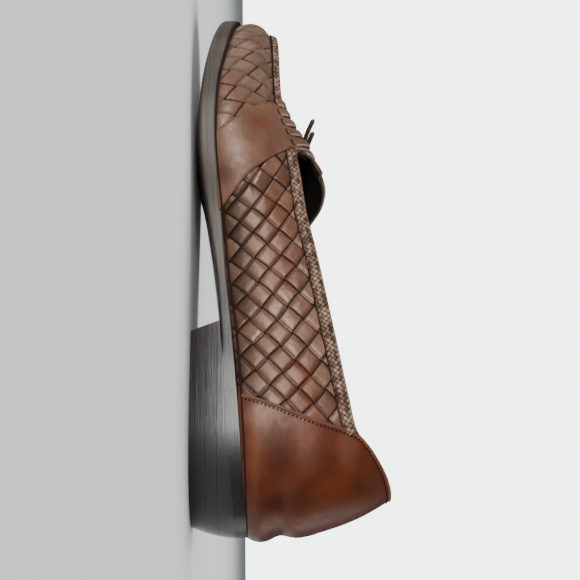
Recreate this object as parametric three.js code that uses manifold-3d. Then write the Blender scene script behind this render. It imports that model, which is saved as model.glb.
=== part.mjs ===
// Woven tassel loafer for the right foot, standing empty on its sole.
// Millimetres, +Z up, +X towards the toe, +Y towards the inner (medial) side of the foot.
import * as THREE from 'three';
import { mergeVertices } from 'three/addons/utils/BufferGeometryUtils.js';
import Module from 'manifold-3d';

const wasm = await Module();
wasm.setup();

// Driving dimensions
const FIT = 0.3; // gap left between two pieces that meet
const WALL = 2.0; // leather wall of the upper, lining included
const COLUMNS = 96; // weave columns once round the feather line
const HALF_LOOP = COLUMNS / 2; // from the back of the heel to the tip of the toe
const WEAVE_ROW = 6.6; // height of half a woven diamond
const WEAVE_RELIEF = 0.9; // how far a woven pad stands out of its grooves
const PAD_SHARE = 0.72; // flat top of a pad, as a share of its diamond
const SEAM_HEIGHT = 0.72; // place of the apron seam between feather line and ridge
const OVERLAY_LOW = 1.4; // underside of strap and counter above the last
const OVERLAY_HIGH = 2.8; // outside of strap and counter above the last
const BRAID_WIDTH = 6.4; // plaited edge of the collar
const BRAID_DROP = 3.4; // from the topline down to the middle of the braid
const BRAID_OVERRUN = 10; // how far a braid runs on before strap and counter cut it off
const BRAID_FRONT = { medial: 54, lateral: 59 }; // front end of each braid, under the strap
const SEAM_WIDTH = 5.0; // plaited ridge round the toe plug
const BRAID_LOW = 1.3; // underside of braid and ridge above the last
const BRAID_HIGH = 3.7; // top of braid and ridge above the last
const INSOLE_THICK = 3.0;
const INSOLE_MARGIN = 1.6; // between the insole and the inside of the wall
const TOP_LIFT = 2.6; // bottom lift of the heel, which stands on the floor
const LIFT = 5.4; // a flat leather lift
const LIFT_GAP = 0.1; // glue line between two flat lifts
const HEEL_SEAT = 24; // above the whole heel, which the sole then cuts to its own shape
const HEEL_LEAN = 4.0; // extra slope of the heel's back over its sides
const HEEL_TAPER = 2.0; // how far the heel's sides draw in down to the tread
const HEEL_CURVE = 1.7; // how much more the heel draws in near the tread than near the sole
const BREAST_SLOPE = 1.1; // columns by which the heel's front moves back on its way down
const BREAST_COLUMN = 17.2; // column of the heel's front under the sole
const EDGE_BEVEL = 0.8; // rounded lower edge of the sole
const FLAT_FROM = -0.62; // flat part across the underside, as shares of half its width
const FLAT_TO = -0.1;
const SOLE_ROUND = 1.2; // curve of the underside between its flat part and its edges
const SOLE_STEPS = 36; // steps along the sole's edge, from heel to toe
const RIDGE_BACK = -93; // ends of the ridge line over the last
const RIDGE_FRONT = 124;
const RIDGE_LEAN = 10; // how far the weave leans forward halfway along
const BULGE_SKEW = 0.6; // puts the fullest part of the wall low down
const HALF_WIDTH = 90; // cutting blocks reach this far to both sides, past the whole shoe
const WRAPS = 5; // lace wraps on each side of the strap
const WRAP_WIDTH = 4.8;
const WRAP_RISE = 2.0; // how far a wrap stands out of the strap
const WRAP_LOW = 0.56; // a wrap's ends, as heights on the last
const WRAP_HIGH = 0.86;
const WRAP_FRONT = 77; // first and last wrap along the strap
const WRAP_BACK = 53.5;
const LACE = 2.4; // round leather lace of the tassels
const KNOT = { x: 71, height: 0.8, radius: 3.4 }; // knot of the lace, just over the outer edge of the instep
const KNOT_SEAT = 0.5; // how far the knot sits lower than the laces
const LACE_RUN = 9; // lace between knot and head
const HEAD_LENGTH = 9; // wrapped head of a tassel
const HEAD_RADIUS = 3.8;
const FRINGE_LENGTH = 24;
const FRINGE_SPREAD = 6.0; // half width of the fringe at its tips
const FRINGE_THICK = 3.6;
const STRIPS = 5; // strips on the outside of a fringe
const STRIP_WIDTH = 2.2;
const STRIP_THICK = 1.4;
const TASSELS = [
  { name: 'tassel_front', x: 80 },
  { name: 'tassel_rear', x: 65 },
];
// Puts the origin under the middle of the whole shoe
const FRAME_SHIFT = { x: 1.23, y: 0.6 };
// Free ends of the lace, as points past the knot
const LACE_ENDS = [
  [{ x: 7, y: 5, z: 3 }, { x: 12, y: 9, z: 5 }, { x: 17, y: 13, z: 6.5 }],
  [{ x: 1, y: 5, z: 3.5 }, { x: 3.5, y: 9, z: 5 }, { x: 7.5, y: 13, z: 6 }],
];

// Plan of the feather line, where the upper meets the sole
const FEATHER = [
  { x: -145, centre: 0, half: 0 },
  { x: -140, centre: 0, half: 14.5 },
  { x: -127, centre: 0, half: 25.5 },
  { x: -105, centre: 0, half: 31.3 },
  { x: -75, centre: -0.7, half: 31.8 },
  { x: -45, centre: -2.2, half: 31.4 },
  { x: -15, centre: -3.8, half: 32.8 },
  { x: 15, centre: -3.5, half: 37.8 },
  { x: 40, centre: -1.6, half: 44.0 },
  { x: 62, centre: 0, half: 47.2 },
  { x: 85, centre: 1.4, half: 45.4 },
  { x: 108, centre: 2.6, half: 38.0 },
  { x: 126.5, centre: 3.2, half: 26.6 },
  { x: 138.5, centre: 3.2, half: 14.4 },
  { x: 144.2, centre: 3.2, half: 0 },
];

// Sole along the shoe: height of its top, thickness at both edges, how far the middle hangs lower,
// thickness of the welt layer, and how far each edge stands out past the feather line
const SOLE = [
  { x: -150, top: 28.8, medial: 7.0, lateral: 7.0, hang: 0, welt: 2.6, outMedial: 4.2, outLateral: 4.2 },
  { x: -120, top: 26.6, medial: 6.8, lateral: 6.8, hang: 0, welt: 2.6, outMedial: 2.4, outLateral: 2.4 },
  { x: -85, top: 24.0, medial: 6.5, lateral: 6.6, hang: 0.1, welt: 2.5, outMedial: 1.6, outLateral: 1.8 },
  { x: -50, top: 21.0, medial: 6.2, lateral: 6.6, hang: 0.2, welt: 2.3, outMedial: 1.2, outLateral: 2.0 },
  { x: -20, top: 17.8, medial: 5.2, lateral: 6.4, hang: 0.2, welt: 2.2, outMedial: 0.8, outLateral: 2.4 },
  { x: 10, top: 15.6, medial: 7.0, lateral: 7.6, hang: 0.2, welt: 3.0, outMedial: 1.6, outLateral: 3.0 },
  { x: 38, top: 13.2, medial: 8.4, lateral: 8.8, hang: 1.0, welt: 4.0, outMedial: 3.0, outLateral: 3.3 },
  { x: 58, top: 12.5, medial: 8.3, lateral: 8.9, hang: 4.3, welt: 4.2, outMedial: 3.4, outLateral: 3.5 },
  { x: 82, top: 13.7, medial: 8.3, lateral: 8.9, hang: 5.4, welt: 4.2, outMedial: 3.5, outLateral: 3.5 },
  { x: 100, top: 16.6, medial: 8.8, lateral: 8.8, hang: 2.4, welt: 4.2, outMedial: 3.6, outLateral: 3.6 },
  { x: 125, top: 20.8, medial: 8.6, lateral: 8.6, hang: 0.6, welt: 4.2, outMedial: 3.8, outLateral: 3.8 },
  { x: 150, top: 26.0, medial: 8.0, lateral: 8.0, hang: 0, welt: 4.0, outMedial: 4.0, outLateral: 4.0 },
];

// Ridge over the last. Behind the instep it runs above the open collar and only guides the side walls.
const RIDGE = [
  { x: -93, y: 0, z: 130 },
  { x: -50, y: 0, z: 119 },
  { x: -10, y: -2, z: 106 },
  { x: 20, y: -7, z: 94 },
  { x: 40, y: -9, z: 81 },
  { x: 50, y: -6, z: 72 },
  { x: 58, y: -2, z: 66.3 },
  { x: 66, y: 0, z: 59.8 },
  { x: 75, y: 1, z: 53.6 },
  { x: 85, y: 1.6, z: 48.2 },
  { x: 95, y: 2.2, z: 46.4 },
  { x: 110, y: 2.8, z: 45.6 },
  { x: 124, y: 3.2, z: 44.6 },
];

// Section of the wall: 2 is an ellipse, more is squarer. The bulge stands out past the straight section.
const SECTION = [
  { x: -145, square: 1.6, medial: 5.3, lateral: 5.3 },
  { x: -110, square: 1.8, medial: 3.0, lateral: 3.0 },
  { x: -60, square: 2.1, medial: 3.6, lateral: 2.6 },
  { x: -20, square: 2.1, medial: 5.0, lateral: 2.6 },
  { x: 20, square: 2.0, medial: 4.0, lateral: 2.4 },
  { x: 60, square: 1.95, medial: 2.0, lateral: 2.0 },
  { x: 95, square: 2.4, medial: 1.2, lateral: 1.2 },
  { x: 125, square: 2.7, medial: 1.8, lateral: 1.8 },
  { x: 144.2, square: 2.9, medial: 2.8, lateral: 2.8 },
];

// Height of the topline on both sides
const TOPLINE = [
  { x: -165, medial: 98.8, lateral: 98.8 },
  { x: -131, medial: 98.0, lateral: 98.2 },
  { x: -124, medial: 95.8, lateral: 96.0 },
  { x: -113, medial: 88.6, lateral: 88.4 },
  { x: -103, medial: 80.8, lateral: 80.0 },
  { x: -87, medial: 77.2, lateral: 75.2 },
  { x: -47, medial: 70.4, lateral: 68.0 },
  { x: -9, medial: 63.8, lateral: 61.0 },
  { x: 11, medial: 59.5, lateral: 57.8 },
  { x: 22, medial: 57.9, lateral: 58.0 },
  { x: 33, medial: 56.5, lateral: 62.6 },
  { x: 40, medial: 55.5, lateral: 68.8 },
  { x: 44, medial: 54.9, lateral: 71.5 },
  { x: 47, medial: 54.6, lateral: 72.2 },
  { x: 51, medial: 55.4, lateral: 71.4 },
  { x: 54.5, medial: 59.6, lateral: 69.9 },
  { x: 59, medial: 66.9, lateral: 66.9 },
];

// Side view of the strap: its front and back edge at each height
const STRAP = [
  { z: 8, front: 49, back: 2 },
  { z: 15.5, front: 54, back: 12 },
  { z: 20.5, front: 57.8, back: 19 },
  { z: 29, front: 65.3, back: 30 },
  { z: 36, front: 71.8, back: 36.4 },
  { z: 42, front: 76.6, back: 41.8 },
  { z: 47.5, front: 81.6, back: 46.2 },
  { z: 52, front: 84.6, back: 49.4 },
  { z: 58.5, front: 87.0, back: 53.2 },
  { z: 64.5, front: 88.5, back: 59.0 },
  { z: 90, front: 88.5, back: 76.0 },
];

// Side view of the heel counter: its front edge at each height
const COUNTER = [
  { z: 15, front: -83.5 },
  { z: 29, front: -86.6 },
  { z: 46, front: -92.8 },
  { z: 56, front: -96.6 },
  { z: 66, front: -99.8 },
  { z: 75, front: -102.2 },
  { z: 81, front: -104.6 },
  { z: 110, front: -113 },
];

// Value of one column of a table, on a smooth curve through its rows
function along(rows, by, at, key) {
  const last = rows.length - 1;
  let k = 0;
  while (k < last - 1 && at > rows[k + 1][by]) k += 1;
  const slope = (j) => {
    const before = rows[Math.max(0, j - 1)];
    const after = rows[Math.min(last, j + 1)];
    return (after[key] - before[key]) / (after[by] - before[by]);
  };
  const a = rows[k];
  const b = rows[k + 1];
  const span = b[by] - a[by];
  const u = THREE.MathUtils.clamp((at - a[by]) / span, 0, 1);
  const rise = (2 * u - 3) * u * u + 1;
  const start = ((u - 2) * u + 1) * u * span;
  const end = (u - 1) * u * u * span;
  return a[key] * rise + b[key] * (1 - rise) + slope(k) * start + slope(k + 1) * end;
}

const sole = (x, key) => along(SOLE, 'x', x, key);
const section = (x, key) => along(SECTION, 'x', x, key);
const topline = (x, side) => along(TOPLINE, 'x', x, side);
const strapEdge = (z, key) => along(STRAP, 'z', z, key);
const counterEdge = (z) => along(COUNTER, 'z', z, 'front');

// Half of the feather line from heel to toe, with its length measured so that columns are evenly spaced
function halfOutline(curve, from, to) {
  const steps = 240;
  const points = [];
  const reach = [0];
  for (let k = 0; k <= steps; k += 1) {
    points.push(curve.getPoint(from + ((to - from) * k) / steps));
    if (k > 0) reach.push(reach[k - 1] + points[k].distanceTo(points[k - 1]));
  }
  return (share) => {
    const target = THREE.MathUtils.clamp(share, 0, 1) * reach[steps];
    let k = 1;
    while (k < steps && reach[k] < target) k += 1;
    return points[k - 1].clone().lerp(points[k], (target - reach[k - 1]) / (reach[k] - reach[k - 1]));
  };
}

function featherHalves() {
  const medial = FEATHER.map((row) => new THREE.Vector3(row.x, row.centre + row.half, 0));
  const lateral = FEATHER.slice(1, -1).map((row) => new THREE.Vector3(row.x, row.centre - row.half, 0));
  const loop = [...medial, ...lateral.reverse()];
  const curve = new THREE.CatmullRomCurve3(loop, true, 'centripetal');
  const toe = (medial.length - 1) / loop.length;
  return { medial: halfOutline(curve, 0, toe), lateral: halfOutline(curve, 1, toe) };
}

const HALVES = featherHalves();

// Place on the loop round the shoe: column 0 is the back of the heel, HALF_LOOP the toe, medial side first
function place(column) {
  const turn = ((column % COLUMNS) + COLUMNS) % COLUMNS;
  const medial = turn <= HALF_LOOP;
  return { side: medial ? 'medial' : 'lateral', share: (medial ? turn : COLUMNS - turn) / HALF_LOOP };
}

function featherPlan(column) {
  const { side, share } = place(column);
  return HALVES[side](share);
}

function outward(column) {
  const ahead = featherPlan(column + 0.1);
  const back = featherPlan(column - 0.1);
  return new THREE.Vector3(back.y - ahead.y, ahead.x - back.x, 0).normalize();
}

function ridgePoint(share) {
  const middle = (HALVES.medial(share).x + HALVES.lateral(share).x) / 2;
  const heel = FEATHER[0].x;
  const toe = FEATHER[FEATHER.length - 1].x;
  const run = (middle - heel) / (toe - heel);
  const x = RIDGE_BACK + (RIDGE_FRONT - RIDGE_BACK) * run + RIDGE_LEAN * Math.sin(Math.PI * share);
  return new THREE.Vector3(x, along(RIDGE, 'x', x, 'y'), along(RIDGE, 'x', x, 'z'));
}

// The last: a point at a column and a height from 0 at the feather line to 1 on the ridge
function lastPoint(column, height) {
  const { side, share } = place(column);
  const ridge = ridgePoint(share);
  if (height >= 1) return ridge;
  const foot = featherPlan(column);
  foot.z = sole(foot.x, 'top') + FIT;
  const power = 2 / section(foot.x, 'square');
  const angle = (height * Math.PI) / 2;
  const out = Math.cos(angle) ** power;
  const up = Math.sin(angle) ** power;
  const bulge = section(foot.x, side) * Math.sin(Math.PI * height ** BULGE_SKEW);
  const point = new THREE.Vector3().lerpVectors(ridge, foot, out);
  point.z = foot.z + (ridge.z - foot.z) * up;
  return point.addScaledVector(outward(column), bulge);
}

function lastNormal(column, height) {
  const step = 0.01;
  const onRidge = THREE.MathUtils.clamp(place(column).share * HALF_LOOP, 0.5, HALF_LOOP - 0.5);
  const beside = height >= 1 ? onRidge : column;
  const across = lastPoint(beside + 0.2, height).sub(lastPoint(beside - 0.2, height));
  const low = lastPoint(beside, Math.max(0, height - step));
  const rise = lastPoint(beside, Math.min(1, height + step)).sub(low);
  return rise.cross(across).normalize();
}

function shell(column, height, offset) {
  return lastPoint(column, height).addScaledVector(lastNormal(column, height), offset);
}

// Height on the last at a distance up the wall from the feather line
const WALL_STEPS = 36;
const wallLengths = new Map();

function wallLength(column) {
  if (!wallLengths.has(column)) {
    const reach = [0];
    let before = lastPoint(column, 0);
    for (let k = 1; k <= WALL_STEPS; k += 1) {
      const point = lastPoint(column, (SEAM_HEIGHT * k) / WALL_STEPS);
      reach.push(reach[k - 1] + point.distanceTo(before));
      before = point;
    }
    wallLengths.set(column, reach);
  }
  return wallLengths.get(column);
}

function heightAt(column, distance) {
  const reach = wallLength(column);
  if (distance >= reach[WALL_STEPS]) return SEAM_HEIGHT;
  let k = 1;
  while (reach[k] < distance) k += 1;
  const share = (distance - reach[k - 1]) / (reach[k] - reach[k - 1]);
  return (SEAM_HEIGHT * (k - 1 + share)) / WALL_STEPS;
}

// Closed geometry from a list of triangles, each three points, with its faces turned outwards
function closedGeometry(triangles) {
  const positions = new Float32Array(triangles.length * 9);
  triangles.forEach((corners, k) => {
    corners.forEach((point, c) => point.toArray(positions, k * 9 + c * 3));
  });
  const loose = new THREE.BufferGeometry();
  loose.setAttribute('position', new THREE.BufferAttribute(positions, 3));
  const merged = mergeVertices(loose, 1e-3);
  const point = (k) => new THREE.Vector3().fromBufferAttribute(merged.attributes.position, k);
  const faces = [];
  let volume = 0;
  for (let k = 0; k < merged.index.count; k += 3) {
    const [a, b, c] = [0, 1, 2].map((corner) => merged.index.getX(k + corner));
    if (a !== b && b !== c && c !== a) {
      faces.push([a, b, c]);
      volume += point(a).dot(point(b).cross(point(c)));
    }
  }
  merged.setIndex(faces.flatMap(([a, b, c]) => (volume > 0 ? [a, b, c] : [a, c, b])));
  return merged;
}

function solidOf(geometry) {
  const clean = geometry.clone();
  clean.deleteAttribute('normal');
  clean.deleteAttribute('uv');
  const merged = mergeVertices(clean, 1e-4);
  return new wasm.Manifold(new wasm.Mesh({
    numProp: 3,
    vertProperties: new Float32Array(merged.attributes.position.array),
    triVerts: new Uint32Array(merged.index.array),
  }));
}

function geometryOf(solid) {
  const { vertProperties, triVerts } = solid.getMesh();
  const geometry = new THREE.BufferGeometry();
  geometry.setAttribute('position', new THREE.BufferAttribute(new Float32Array(vertProperties), 3));
  geometry.setIndex(new THREE.BufferAttribute(new Uint32Array(triVerts), 1));
  return geometry;
}

const closedSolid = (triangles) => solidOf(closedGeometry(triangles));

// Triangles of a grid of points, seen with its rows running up and its columns to the right
function gridFaces(grid) {
  const faces = [];
  for (let c = 0; c + 1 < grid.length; c += 1) {
    for (let r = 0; r + 1 < grid[c].length; r += 1) {
      const [a, b, d, e] = [grid[c][r], grid[c + 1][r], grid[c + 1][r + 1], grid[c][r + 1]];
      faces.push([a, b, d], [a, d, e]);
    }
  }
  return faces;
}

// Wall between two lines of points with the same count
const ribbon = (low, high) => gridFaces(low.map((point, k) => [point, high[k]]));

function span(from, to, steps) {
  return Array.from({ length: steps + 1 }, (_, k) => from + ((to - from) * k) / steps);
}

// Sheet of even thickness cut from two shells of the last: at(c, r) gives column and height
function thickPatch(columns, rows, at, low, high) {
  const layer = (offset) => columns.map((c) => rows.map((r) => shell(...at(c, r), offset)));
  const inner = layer(low);
  const outer = layer(high);
  const rim = (grid) => [
    ...grid.map((column) => column[0]),
    ...grid[grid.length - 1].slice(1),
    ...grid.map((column) => column[column.length - 1]).reverse().slice(1),
    ...grid[0].slice().reverse().slice(1),
  ];
  const inside = gridFaces(inner).map(([a, b, c]) => [a, c, b]);
  return closedSolid([...gridFaces(outer), ...inside, ...ribbon(rim(inner), rim(outer))]);
}

// Layer of the sole between two heights. Its columns are pairs of edge points, lateral and medial.
function soleLayer({ topColumns, bottomColumns, across, top, bottom }) {
  const line = (pairs, shares, height) => pairs.map(([lateral, medial]) => shares.map((share) => {
    const point = lateral.clone().lerp(medial, (share + 1) / 2);
    point.z = height(point.x, share);
    return point;
  }));
  const upper = line(topColumns, [-1, 1], top);
  const lower = line(bottomColumns, across, bottom);
  const edge = (grid, side) => grid.map((column) => column[side < 0 ? 0 : column.length - 1]);
  const cap = (column, lid) => {
    const faces = [];
    for (let k = 0; k + 1 < column.length; k += 1) faces.push([column[k], column[k + 1], lid[0]]);
    faces.push([column[column.length - 1], lid[1], lid[0]]);
    return faces;
  };
  const flip = ([a, b, c]) => [a, c, b];
  return closedGeometry([
    ...gridFaces(upper),
    ...gridFaces(lower).map(flip),
    ...ribbon(edge(lower, -1), edge(upper, -1)),
    ...ribbon(edge(lower, 1), edge(upper, 1)).map(flip),
    ...cap(lower[0], upper[0]).map(flip),
    ...cap(lower[lower.length - 1], upper[upper.length - 1]),
  ]);
}

// Edge of the sole outside the feather line, at a column and a further margin
function soleEdge(column, margin) {
  const point = featherPlan(column);
  const key = place(column).side === 'medial' ? 'outMedial' : 'outLateral';
  return point.clone().addScaledVector(outward(column), sole(point.x, key) + margin);
}

const pairAt = (column, edge) => [edge(COLUMNS - column), edge(column)];
const soleColumns = (margin, steps = SOLE_STEPS) => span(0, HALF_LOOP, steps).map(
  (column) => pairAt(column, (c) => soleEdge(c, margin)),
);

// Underside of the whole sole: edges of their own thickness, and a middle that hangs lower and ends flat
function soleBottom(x, share) {
  const key = share < 0 ? 'lateral' : 'medial';
  const edge = sole(x, 'top') - sole(x, key);
  const tip = FEATHER[FEATHER.length - 1].x;
  const fade = THREE.MathUtils.smoothstep(tip - x, -4, 30);
  const middle = sole(x, 'top') - (sole(x, 'medial') + sole(x, 'lateral')) / 2 - sole(x, 'hang') * fade;
  const bevel = Math.abs(share) > 0.99 ? EDGE_BEVEL : 0;
  const medialRun = (share - FLAT_TO) / (1 - FLAT_TO);
  const lateralRun = (FLAT_FROM - share) / (1 + FLAT_FROM);
  const run = Math.max(0, medialRun, lateralRun);
  return Math.max(0, middle + (edge - middle) * run ** SOLE_ROUND) + bevel;
}

const weltTop = (x) => sole(x, 'top');
const weltBottom = (x) => sole(x, 'top') - sole(x, 'welt');
const outsoleTop = (x) => weltBottom(x) - FIT;

function weltLayer() {
  const columns = soleColumns(-0.4);
  return soleLayer({
    topColumns: columns, bottomColumns: columns, across: [-1, 1], top: weltTop, bottom: weltBottom,
  });
}

function outsoleLayer() {
  const columns = soleColumns(0);
  const across = [-1, -0.96, FLAT_FROM, FLAT_TO, 0.4, 0.96, 1];
  return soleLayer({
    topColumns: columns, bottomColumns: columns, across, top: outsoleTop, bottom: soleBottom,
  });
}

function insoleLayer() {
  const edge = (column) => featherPlan(column).addScaledVector(outward(column), -WALL - INSOLE_MARGIN);
  const columns = span(0, HALF_LOOP, HALF_LOOP / 2).map((column) => pairAt(column, edge));
  return soleLayer({
    topColumns: columns,
    bottomColumns: columns,
    across: [-1, 1],
    top: (x) => weltTop(x) + FIT + INSOLE_THICK,
    bottom: (x) => weltTop(x) + FIT,
  });
}

// Outline of the heel at a height: it draws in towards the tread, most of all at the back
function heelColumns(z) {
  const seat = soleBottom(FEATHER[0].x, 0);
  const depth = Math.max(0, 1 - z / seat);
  const front = BREAST_COLUMN - BREAST_SLOPE * depth;
  const edge = (column) => {
    const back = Math.max(0, 1 - place(column).share * 6);
    return soleEdge(column, -(HEEL_TAPER + HEEL_LEAN * back * back) * depth ** HEEL_CURVE);
  };
  return span(0, front, 16).map((column) => pairAt(column, edge));
}

// Room over the heel, from the underside of the sole to above the heel seat
function soleRoom() {
  const columns = soleColumns(3);
  return solidOf(soleLayer({
    topColumns: columns,
    bottomColumns: columns,
    across: [-1, FLAT_FROM, FLAT_TO, 0.4, 1],
    top: () => 2 * HEEL_SEAT,
    bottom: (x, share) => soleBottom(x, share * 0.98) - FIT,
  }));
}

// A heel piece between two heights, cut off where it meets the underside of the sole
function heelPiece(low, high) {
  const block = solidOf(soleLayer({
    topColumns: heelColumns(high),
    bottomColumns: heelColumns(low),
    across: [-1, 1],
    top: () => high,
    bottom: () => low,
  }));
  return geometryOf(block.subtract(soleRoom()));
}

// Prism through the shoe with the side view given as x, z pairs
function sidePrism(outline) {
  const shape = new THREE.Shape(outline.map(([x, z]) => new THREE.Vector2(x, z)));
  const prism = new THREE.ExtrudeGeometry(shape, { depth: 2 * HALF_WIDTH, bevelEnabled: false });
  prism.rotateX(Math.PI / 2);
  prism.translate(0, HALF_WIDTH, 0);
  return solidOf(prism);
}

const strapPrism = (grow) => sidePrism([
  ...STRAP.map((row) => [row.front + grow, row.z]),
  ...STRAP.map((row) => [row.back - grow, row.z]).reverse(),
]);

const counterPrism = (grow) => sidePrism([
  ...COUNTER.map((row) => [row.front + grow, row.z]),
  [-170, COUNTER[COUNTER.length - 1].z],
  [-170, COUNTER[0].z],
]);

// Everything above the topline, as a block with the topline as its floor
function collarRoom() {
  const back = TOPLINE[0].x;
  const front = TOPLINE[TOPLINE.length - 1].x;
  const edge = (x, y) => new THREE.Vector3(x, y, 0);
  const columns = span(back, front, 60).map((x) => [edge(x, -HALF_WIDTH), edge(x, HALF_WIDTH)]);
  return solidOf(soleLayer({
    topColumns: columns,
    bottomColumns: columns,
    across: [-1, -0.07, 0.07, 1],
    top: () => 200,
    bottom: (x, share) => topline(x, share < 0 ? 'lateral' : 'medial'),
  }));
}

// Drop from the topline to a line that runs a distance below it, longer where the topline is steep
function dropBelow(x, side, distance) {
  return distance * Math.hypot(1, topline(x + 0.5, side) - topline(x - 0.5, side));
}

// How far a pad stands out at a place: nothing under strap, counter or the collar's braid
function relief(column, height) {
  const { side } = place(column);
  const point = lastPoint(column, height);
  const edge = 1.2;
  const strapFront = strapEdge(point.z, 'front') + edge;
  const strapBack = strapEdge(point.z, 'back') - edge;
  const underStrap = point.x < strapFront && point.x > strapBack;
  const underCounter = point.x < counterEdge(point.z) + edge;
  const braidFoot = topline(point.x, side) - dropBelow(point.x, side, BRAID_WIDTH);
  const underBraid = point.x < strapEdge(point.z, 'back') && point.z > braidFoot;
  return underStrap || underCounter || underBraid ? 0 : WEAVE_RELIEF;
}

// Outer face of the upper below the apron seam, as a net of diamonds with raised pads
function wovenFaces() {
  const tallest = Math.max(...span(0, COLUMNS, COLUMNS).map((column) => wallLength(column)[WALL_STEPS]));
  const rows = Math.ceil(tallest / WEAVE_ROW) + 1;
  const turnOf = (column) => ((column % COLUMNS) + COLUMNS) % COLUMNS;
  const cut = (column, row) => row * WEAVE_ROW > wallLength(turnOf(column))[WALL_STEPS] - 0.4 * WEAVE_ROW;
  const heightOf = (column, row) => {
    if (cut(column, row)) return SEAM_HEIGHT;
    return heightAt(turnOf(column), Math.max(0, row) * WEAVE_ROW);
  };
  const low = (column, row) => shell(turnOf(column), heightOf(column, row), 0);
  const raised = (column, row) => {
    const height = heightOf(column, row);
    return shell(turnOf(column), height, relief(column, height));
  };
  const faces = [];
  for (let column = 0; column < COLUMNS; column += 1) {
    for (let row = column % 2; row <= rows; row += 2) {
      const around = [[1, 0], [0, 1], [-1, 0], [0, -1]];
      const corner = around.map(([c, r]) => low(column + c, Math.min(rows, row + r)));
      const whole = row > 0 && ![-1, 0, 1].some((c) => cut(column + c, row));
      const tips = around.map(([c, r]) => [column + c * PAD_SHARE, row + r * PAD_SHARE]);
      if (whole && tips.some(([c, r]) => relief(c, heightOf(c, r)) > 0)) {
        const pad = tips.map(([c, r]) => raised(c, r));
        faces.push([pad[0], pad[1], pad[2]], [pad[0], pad[2], pad[3]]);
        for (let k = 0; k < 4; k += 1) {
          const next = (k + 1) % 4;
          faces.push([corner[k], corner[next], pad[next]], [corner[k], pad[next], pad[k]]);
        }
      } else if (whole) {
        faces.push([corner[0], corner[1], corner[3]], [corner[1], corner[2], corner[3]]);
      } else {
        const middle = low(column, row);
        const count = row > 0 ? 4 : 2;
        for (let k = 0; k < count; k += 1) faces.push([middle, corner[k], corner[(k + 1) % 4]]);
      }
    }
  }
  return faces;
}

// Plug of the toe and everything else between the apron seam and the ridge
function plugFaces() {
  const heights = span(SEAM_HEIGHT, 1, 4);
  const columns = span(0, COLUMNS, COLUMNS);
  return gridFaces(columns.map((column) => heights.map((height) => lastPoint(column % COLUMNS, height))));
}

function innerFaces() {
  const heights = [0, 0.06, 0.14, 0.24, 0.36, 0.48, 0.6, 0.72, 0.86, 1];
  const columns = span(0, COLUMNS, HALF_LOOP);
  const grid = columns.map((column) => heights.map((height) => shell(column % COLUMNS, height, -WALL)));
  return gridFaces(grid).map(([a, b, c]) => [a, c, b]);
}

// Lower edge of the wall, between the outer face's columns and every second column inside
function wallFoot() {
  const outer = (column) => shell(column % COLUMNS, 0, 0);
  const inner = (column) => shell(column % COLUMNS, 0, -WALL);
  const faces = [];
  for (let column = 0; column < COLUMNS; column += 2) {
    const [a, b, c] = [outer(column), outer(column + 1), outer(column + 2)];
    const [d, e] = [inner(column), inner(column + 2)];
    faces.push([b, a, d], [b, d, e], [c, b, e]);
  }
  return faces;
}

function upperWall() {
  const closed = closedSolid([...wovenFaces(), ...plugFaces(), ...innerFaces(), ...wallFoot()]);
  return closed.subtract(collarRoom());
}

// Path on the last through columns and heights, with its frame along, across and outwards
function surfacePath(stations, offset) {
  const points = stations.map(([column, height]) => shell(column, height, offset));
  const last = points.length - 1;
  return points.map((point, k) => {
    const tangent = points[Math.min(last, k + 1)].clone().sub(points[Math.max(0, k - 1)]).normalize();
    const across = lastNormal(...stations[k]).cross(tangent).normalize();
    return { point, across, out: tangent.clone().cross(across) };
  });
}

// Bar swept along a path: outline(k) gives its section at a step as pairs of across and out
function sweep(path, outline) {
  const rings = path.map(({ point, across, out }, k) => outline(k).map(
    ([a, o]) => point.clone().addScaledVector(across, a).addScaledVector(out, o),
  ));
  const faces = gridFaces(rings.map((ring) => [...ring, ring[0]]));
  const first = rings[0];
  const final = rings[rings.length - 1];
  for (let k = 1; k + 1 < first.length; k += 1) {
    faces.push([first[0], first[k], first[k + 1]], [final[0], final[k + 1], final[k]]);
  }
  return closedSolid(faces);
}

// Flat-based band with rounded shoulders, and a round or oval section
const bandSection = (width, low, high) => [
  [-0.5, 0.2], [-0.42, 0], [0.42, 0], [0.5, 0.2], [0.38, 0.8], [0, 1], [-0.38, 0.8],
].map(([a, o]) => [a * width, low + o * (high - low)]);

const ovalSection = (width, thick, sides) => span(0, 2 * Math.PI, sides).slice(0, sides).map(
  (angle) => [(Math.cos(angle) * width) / 2, (Math.sin(angle) * thick) / 2],
);

// Column on a side where the last has a given x at a given height
function columnAt(side, height, x) {
  let back = side === 'medial' ? 0 : COLUMNS;
  let front = HALF_LOOP;
  for (let k = 0; k < 30; k += 1) {
    const middle = (back + front) / 2;
    if (lastPoint(middle, height).x < x) back = middle;
    else front = middle;
  }
  return (back + front) / 2;
}

// Lace wraps over the strap's edge on one side, in line with the apron seam
function laceWraps(side) {
  return span(WRAP_FRONT, WRAP_BACK, WRAPS - 1).map((x) => {
    const stations = span(WRAP_LOW, WRAP_HIGH, 2).map((height) => [columnAt(side, height, x), height]);
    const section = bandSection(WRAP_WIDTH, OVERLAY_HIGH - 0.5, OVERLAY_HIGH + WRAP_RISE);
    return sweep(surfacePath(stations, 0), () => section);
  });
}

// Everything under the feather line, so that strap and counter stand on the sole
function roomBelow() {
  const columns = soleColumns(8);
  return solidOf(soleLayer({
    topColumns: columns,
    bottomColumns: columns,
    across: [-1, 1],
    top: (x) => weltTop(x) + FIT,
    bottom: () => -HEEL_SEAT,
  }));
}

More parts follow.
